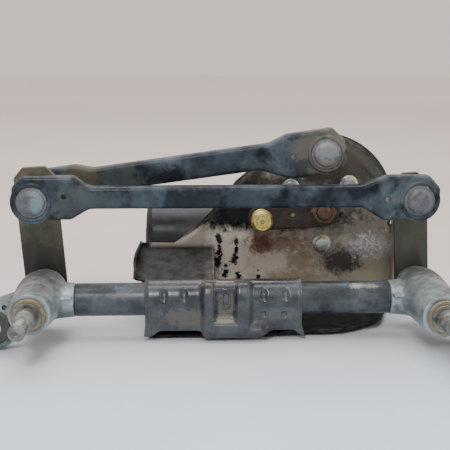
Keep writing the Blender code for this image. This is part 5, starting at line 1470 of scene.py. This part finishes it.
def make_connector():
    """The plug inlet, open upwards, with a latch ramp and side ribs."""
    low, high = (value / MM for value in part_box("connector_socket"))
    loops = [(low.x, low.y), (high.x, low.y), (high.x, high.y), (low.x, high.y)]
    outer = rounded([(x, y, 2.0) for x, y in loops], 5)
    shell = slab("inlet", outer, low.z, high.z, "XY", bevel=0.5)
    inside = [(x + (2.0 if x == low.x else -2.0), y + (2.0 if y == low.y else -2.0), 1.0) for x, y in loops]
    cavity = rounded(inside, 4)
    cutter = slab("cavity", cavity, low.z + 5.0, high.z + 2.0, "XY", bevel=0.1)
    slots = []
    for index in (1, 2):
        x, y, _ = centre(f"connector_blade_{index}")
        slots.append(block("slot", (x - 1.8, y - 0.8, low.z + 2.0), (x + 1.8, y + 0.8, low.z + 6.0), 0.05))
    boolean(shell, "DIFFERENCE", cutter, *slots)
    rim = rounded([(x + (-0.9 if x == low.x else 0.9), y, 2.0) for x, y in loops], 5)
    band = slab("band", rim, low.z + 9.0, low.z + 10.6, "XY", bevel=0.4, holes=[cavity])
    middle = (low.x + high.x) / 2
    near, far = (middle - 3.0, high.y - 0.4, high.z - 5.0), (middle + 3.0, high.y + 1.2, high.z - 3.0)
    ramp = block("ramp", near, far, 0.4)
    stands_for(joined(shell, band, ramp), "connector_socket", "frame", "plastic")


def make_can():
    """The drawn motor can, with a crimped rim and a bearing cup at its closed end."""
    left, right = span("motor_can", "X")
    place = along("X", y=CAN.y, z=CAN.z)
    r = CAN_RADIUS
    profile = [
        (0.0, left + 1.8), (r - 5.8, left + 1.8, 1.0), (r - 1.8, left + 6.0, 3.0), (r - 1.8, right, 0.2),
        (r, right, 0.5), (r, right - 3.0, 0.5), (r - 0.7, right - 3.8, 0.5), (r - 0.7, right - 8.0, 0.5),
        (r - 0.2, right - 9.0, 0.5), (r - 0.2, left + 12.0, 2.0), (r - 0.6, left + 6.0, 4.0),
        (r - 3.5, left + 1.5, 4.0), (12.0, left + 1.0, 1.5), (9.5, left + 0.9, 0.6), (8.6, left, 0.8),
        (0.0, left),
    ]
    can = lathe("drawn_can", profile, place, 96)
    stands_for(can, "motor_can", "frame", "can")
    for index in (1, 2):
        node = f"motor_screw_{index}"
        spot = centre(node)
        low, high = span(node, "X")
        head = [
            (0.0, high - 1.2), (1.5, high - 1.2, 0.1), (1.6, high, 0.1), (2.6, high, 0.5),
            (3.0, high - 2.2, 0.2),
        ]
        profile = [*head, (1.5, high - 2.2), (1.5, low + 1.0), (0.8, low), (0.0, low)]
        screw = lathe(f"can_screw_{index}", profile, along("X", y=spot.y, z=spot.z), 32)
        stands_for(screw, node, "frame", "bolt")


def finish_hidden_parts():
    """The pieces inside the motor and bearings keep their CAD meshes."""
    kept = {
        "bronze": ["left_spindle_bush", "right_spindle_bush", "output_bush", "armature_bush"],
        "steel": ["left_circlip", "right_circlip", "armature_shaft", "armature_core"],
        "copper": [
            "park_contacts", "park_disc", "armature_windings", "commutator", "connector_blade_1",
            "connector_blade_2",
        ],
        "plastic": ["brush_holder"], "nylon": ["worm_wheel"], "ferrite": ["magnet_1", "magnet_2"],
        "carbon": ["carbon_brush_1", "carbon_brush_2"],
    }
    for finish, names in kept.items():
        for name in names:
            mesh = NODES[name].data
            if not mesh.materials:
                mesh.materials.append(None)
            for index in range(len(mesh.materials)):
                mesh.materials[index] = FINISH[finish]


# Stage


def make_stage():
    """A pale table with a painted shadow band behind the object, under a pale surround, soft light from above
    and behind, and a broad fill in front.
    """
    floor = build("table", [(x, y, -0.05) for x, y in circle(0.0, 250.0, 9000.0, 96)], [tuple(range(96))])
    p = Paint("table_top")
    cloud = p.noise(240.0, 3.0, seed=50.0)
    fine = p.noise(3.0, 3.0, seed=51.0)
    near = p.blend(p.between(cloud, 0.3, 0.7), (0.48, 0.58, 0.67), (0.6, 0.69, 0.77))
    # The darker beige behind the object is painted shadow on the table; from 700 to 3200 mm it fades into the
    # pale surround.
    far = p.blend(p.between(cloud, 0.3, 0.7), (0.54, 0.475, 0.43), (0.6, 0.53, 0.48))
    colour = p.blend(p.between(p.axis("Y"), -120.0, 200.0), near, far)
    colour = p.blend(p.between(p.axis("Y"), 700.0, 3200.0), colour, (0.95, 0.88, 0.84))
    floor.data.materials.append(p.finish(colour, 0.6, 0.0, p.bump(fine, 0.02)))

    world = bpy.data.worlds.new("studio")
    bpy.context.scene.world = world
    world.use_nodes = True
    world.node_tree.nodes["Background"].inputs["Color"].default_value = (1.0, 0.87, 0.82, 1.0)
    world.node_tree.nodes["Background"].inputs["Strength"].default_value = 0.9

    for name, place, target, size, power in (
        ("key", (-150.0, 500.0, 1500.0), (0.0, 0.0, 60.0), 1700.0, 30.0),
        ("front_fill", (-300.0, -1000.0, 1100.0), (0.0, 0.0, 60.0), 450.0, 12.0),
        ("side_fill", (1100.0, -200.0, 600.0), (0.0, 0.0, 60.0), 700.0, 4.0),
    ):
        light = bpy.data.lights.new(name, "AREA")
        light.shape = "DISK"
        light.size = size * MM
        light.energy = power
        lamp = bpy.data.objects.new(name, light)
        bpy.context.scene.collection.objects.link(lamp)
        lamp.location = Vector(place) * MM
        lamp.rotation_euler = (Vector(target) - Vector(place)).to_track_quat("-Z", "Y").to_euler()


def make_camera():
    camera = bpy.data.cameras.new("camera")
    camera.lens = 62.0
    camera.sensor_width = 36.0
    camera.clip_start = 0.01
    obj = bpy.data.objects.new("camera", camera)
    bpy.context.scene.collection.objects.link(obj)
    obj.location = Vector((-21.2, -497.4, 180.7)) * MM
    obj.rotation_euler = Vector((0.0313, 0.9777, -0.2075)).to_track_quat("-Z", "Y").to_euler()
    bpy.context.scene.camera = obj


make_camera()
make_stage()
make_tube()
stands_for(make_clamp(), "tube_clamp", "frame", "clamp")
for SIDE in ("left", "right"):
    make_housing(SIDE)
    make_ear_parts(SIDE)
    make_rocker(SIDE)
make_front_link()
make_motor_link()
make_motor_crank()
make_bracket()
make_bolts()
make_gear_housing()
make_gear_cover()
make_connector()
make_can()
finish_hidden_parts()
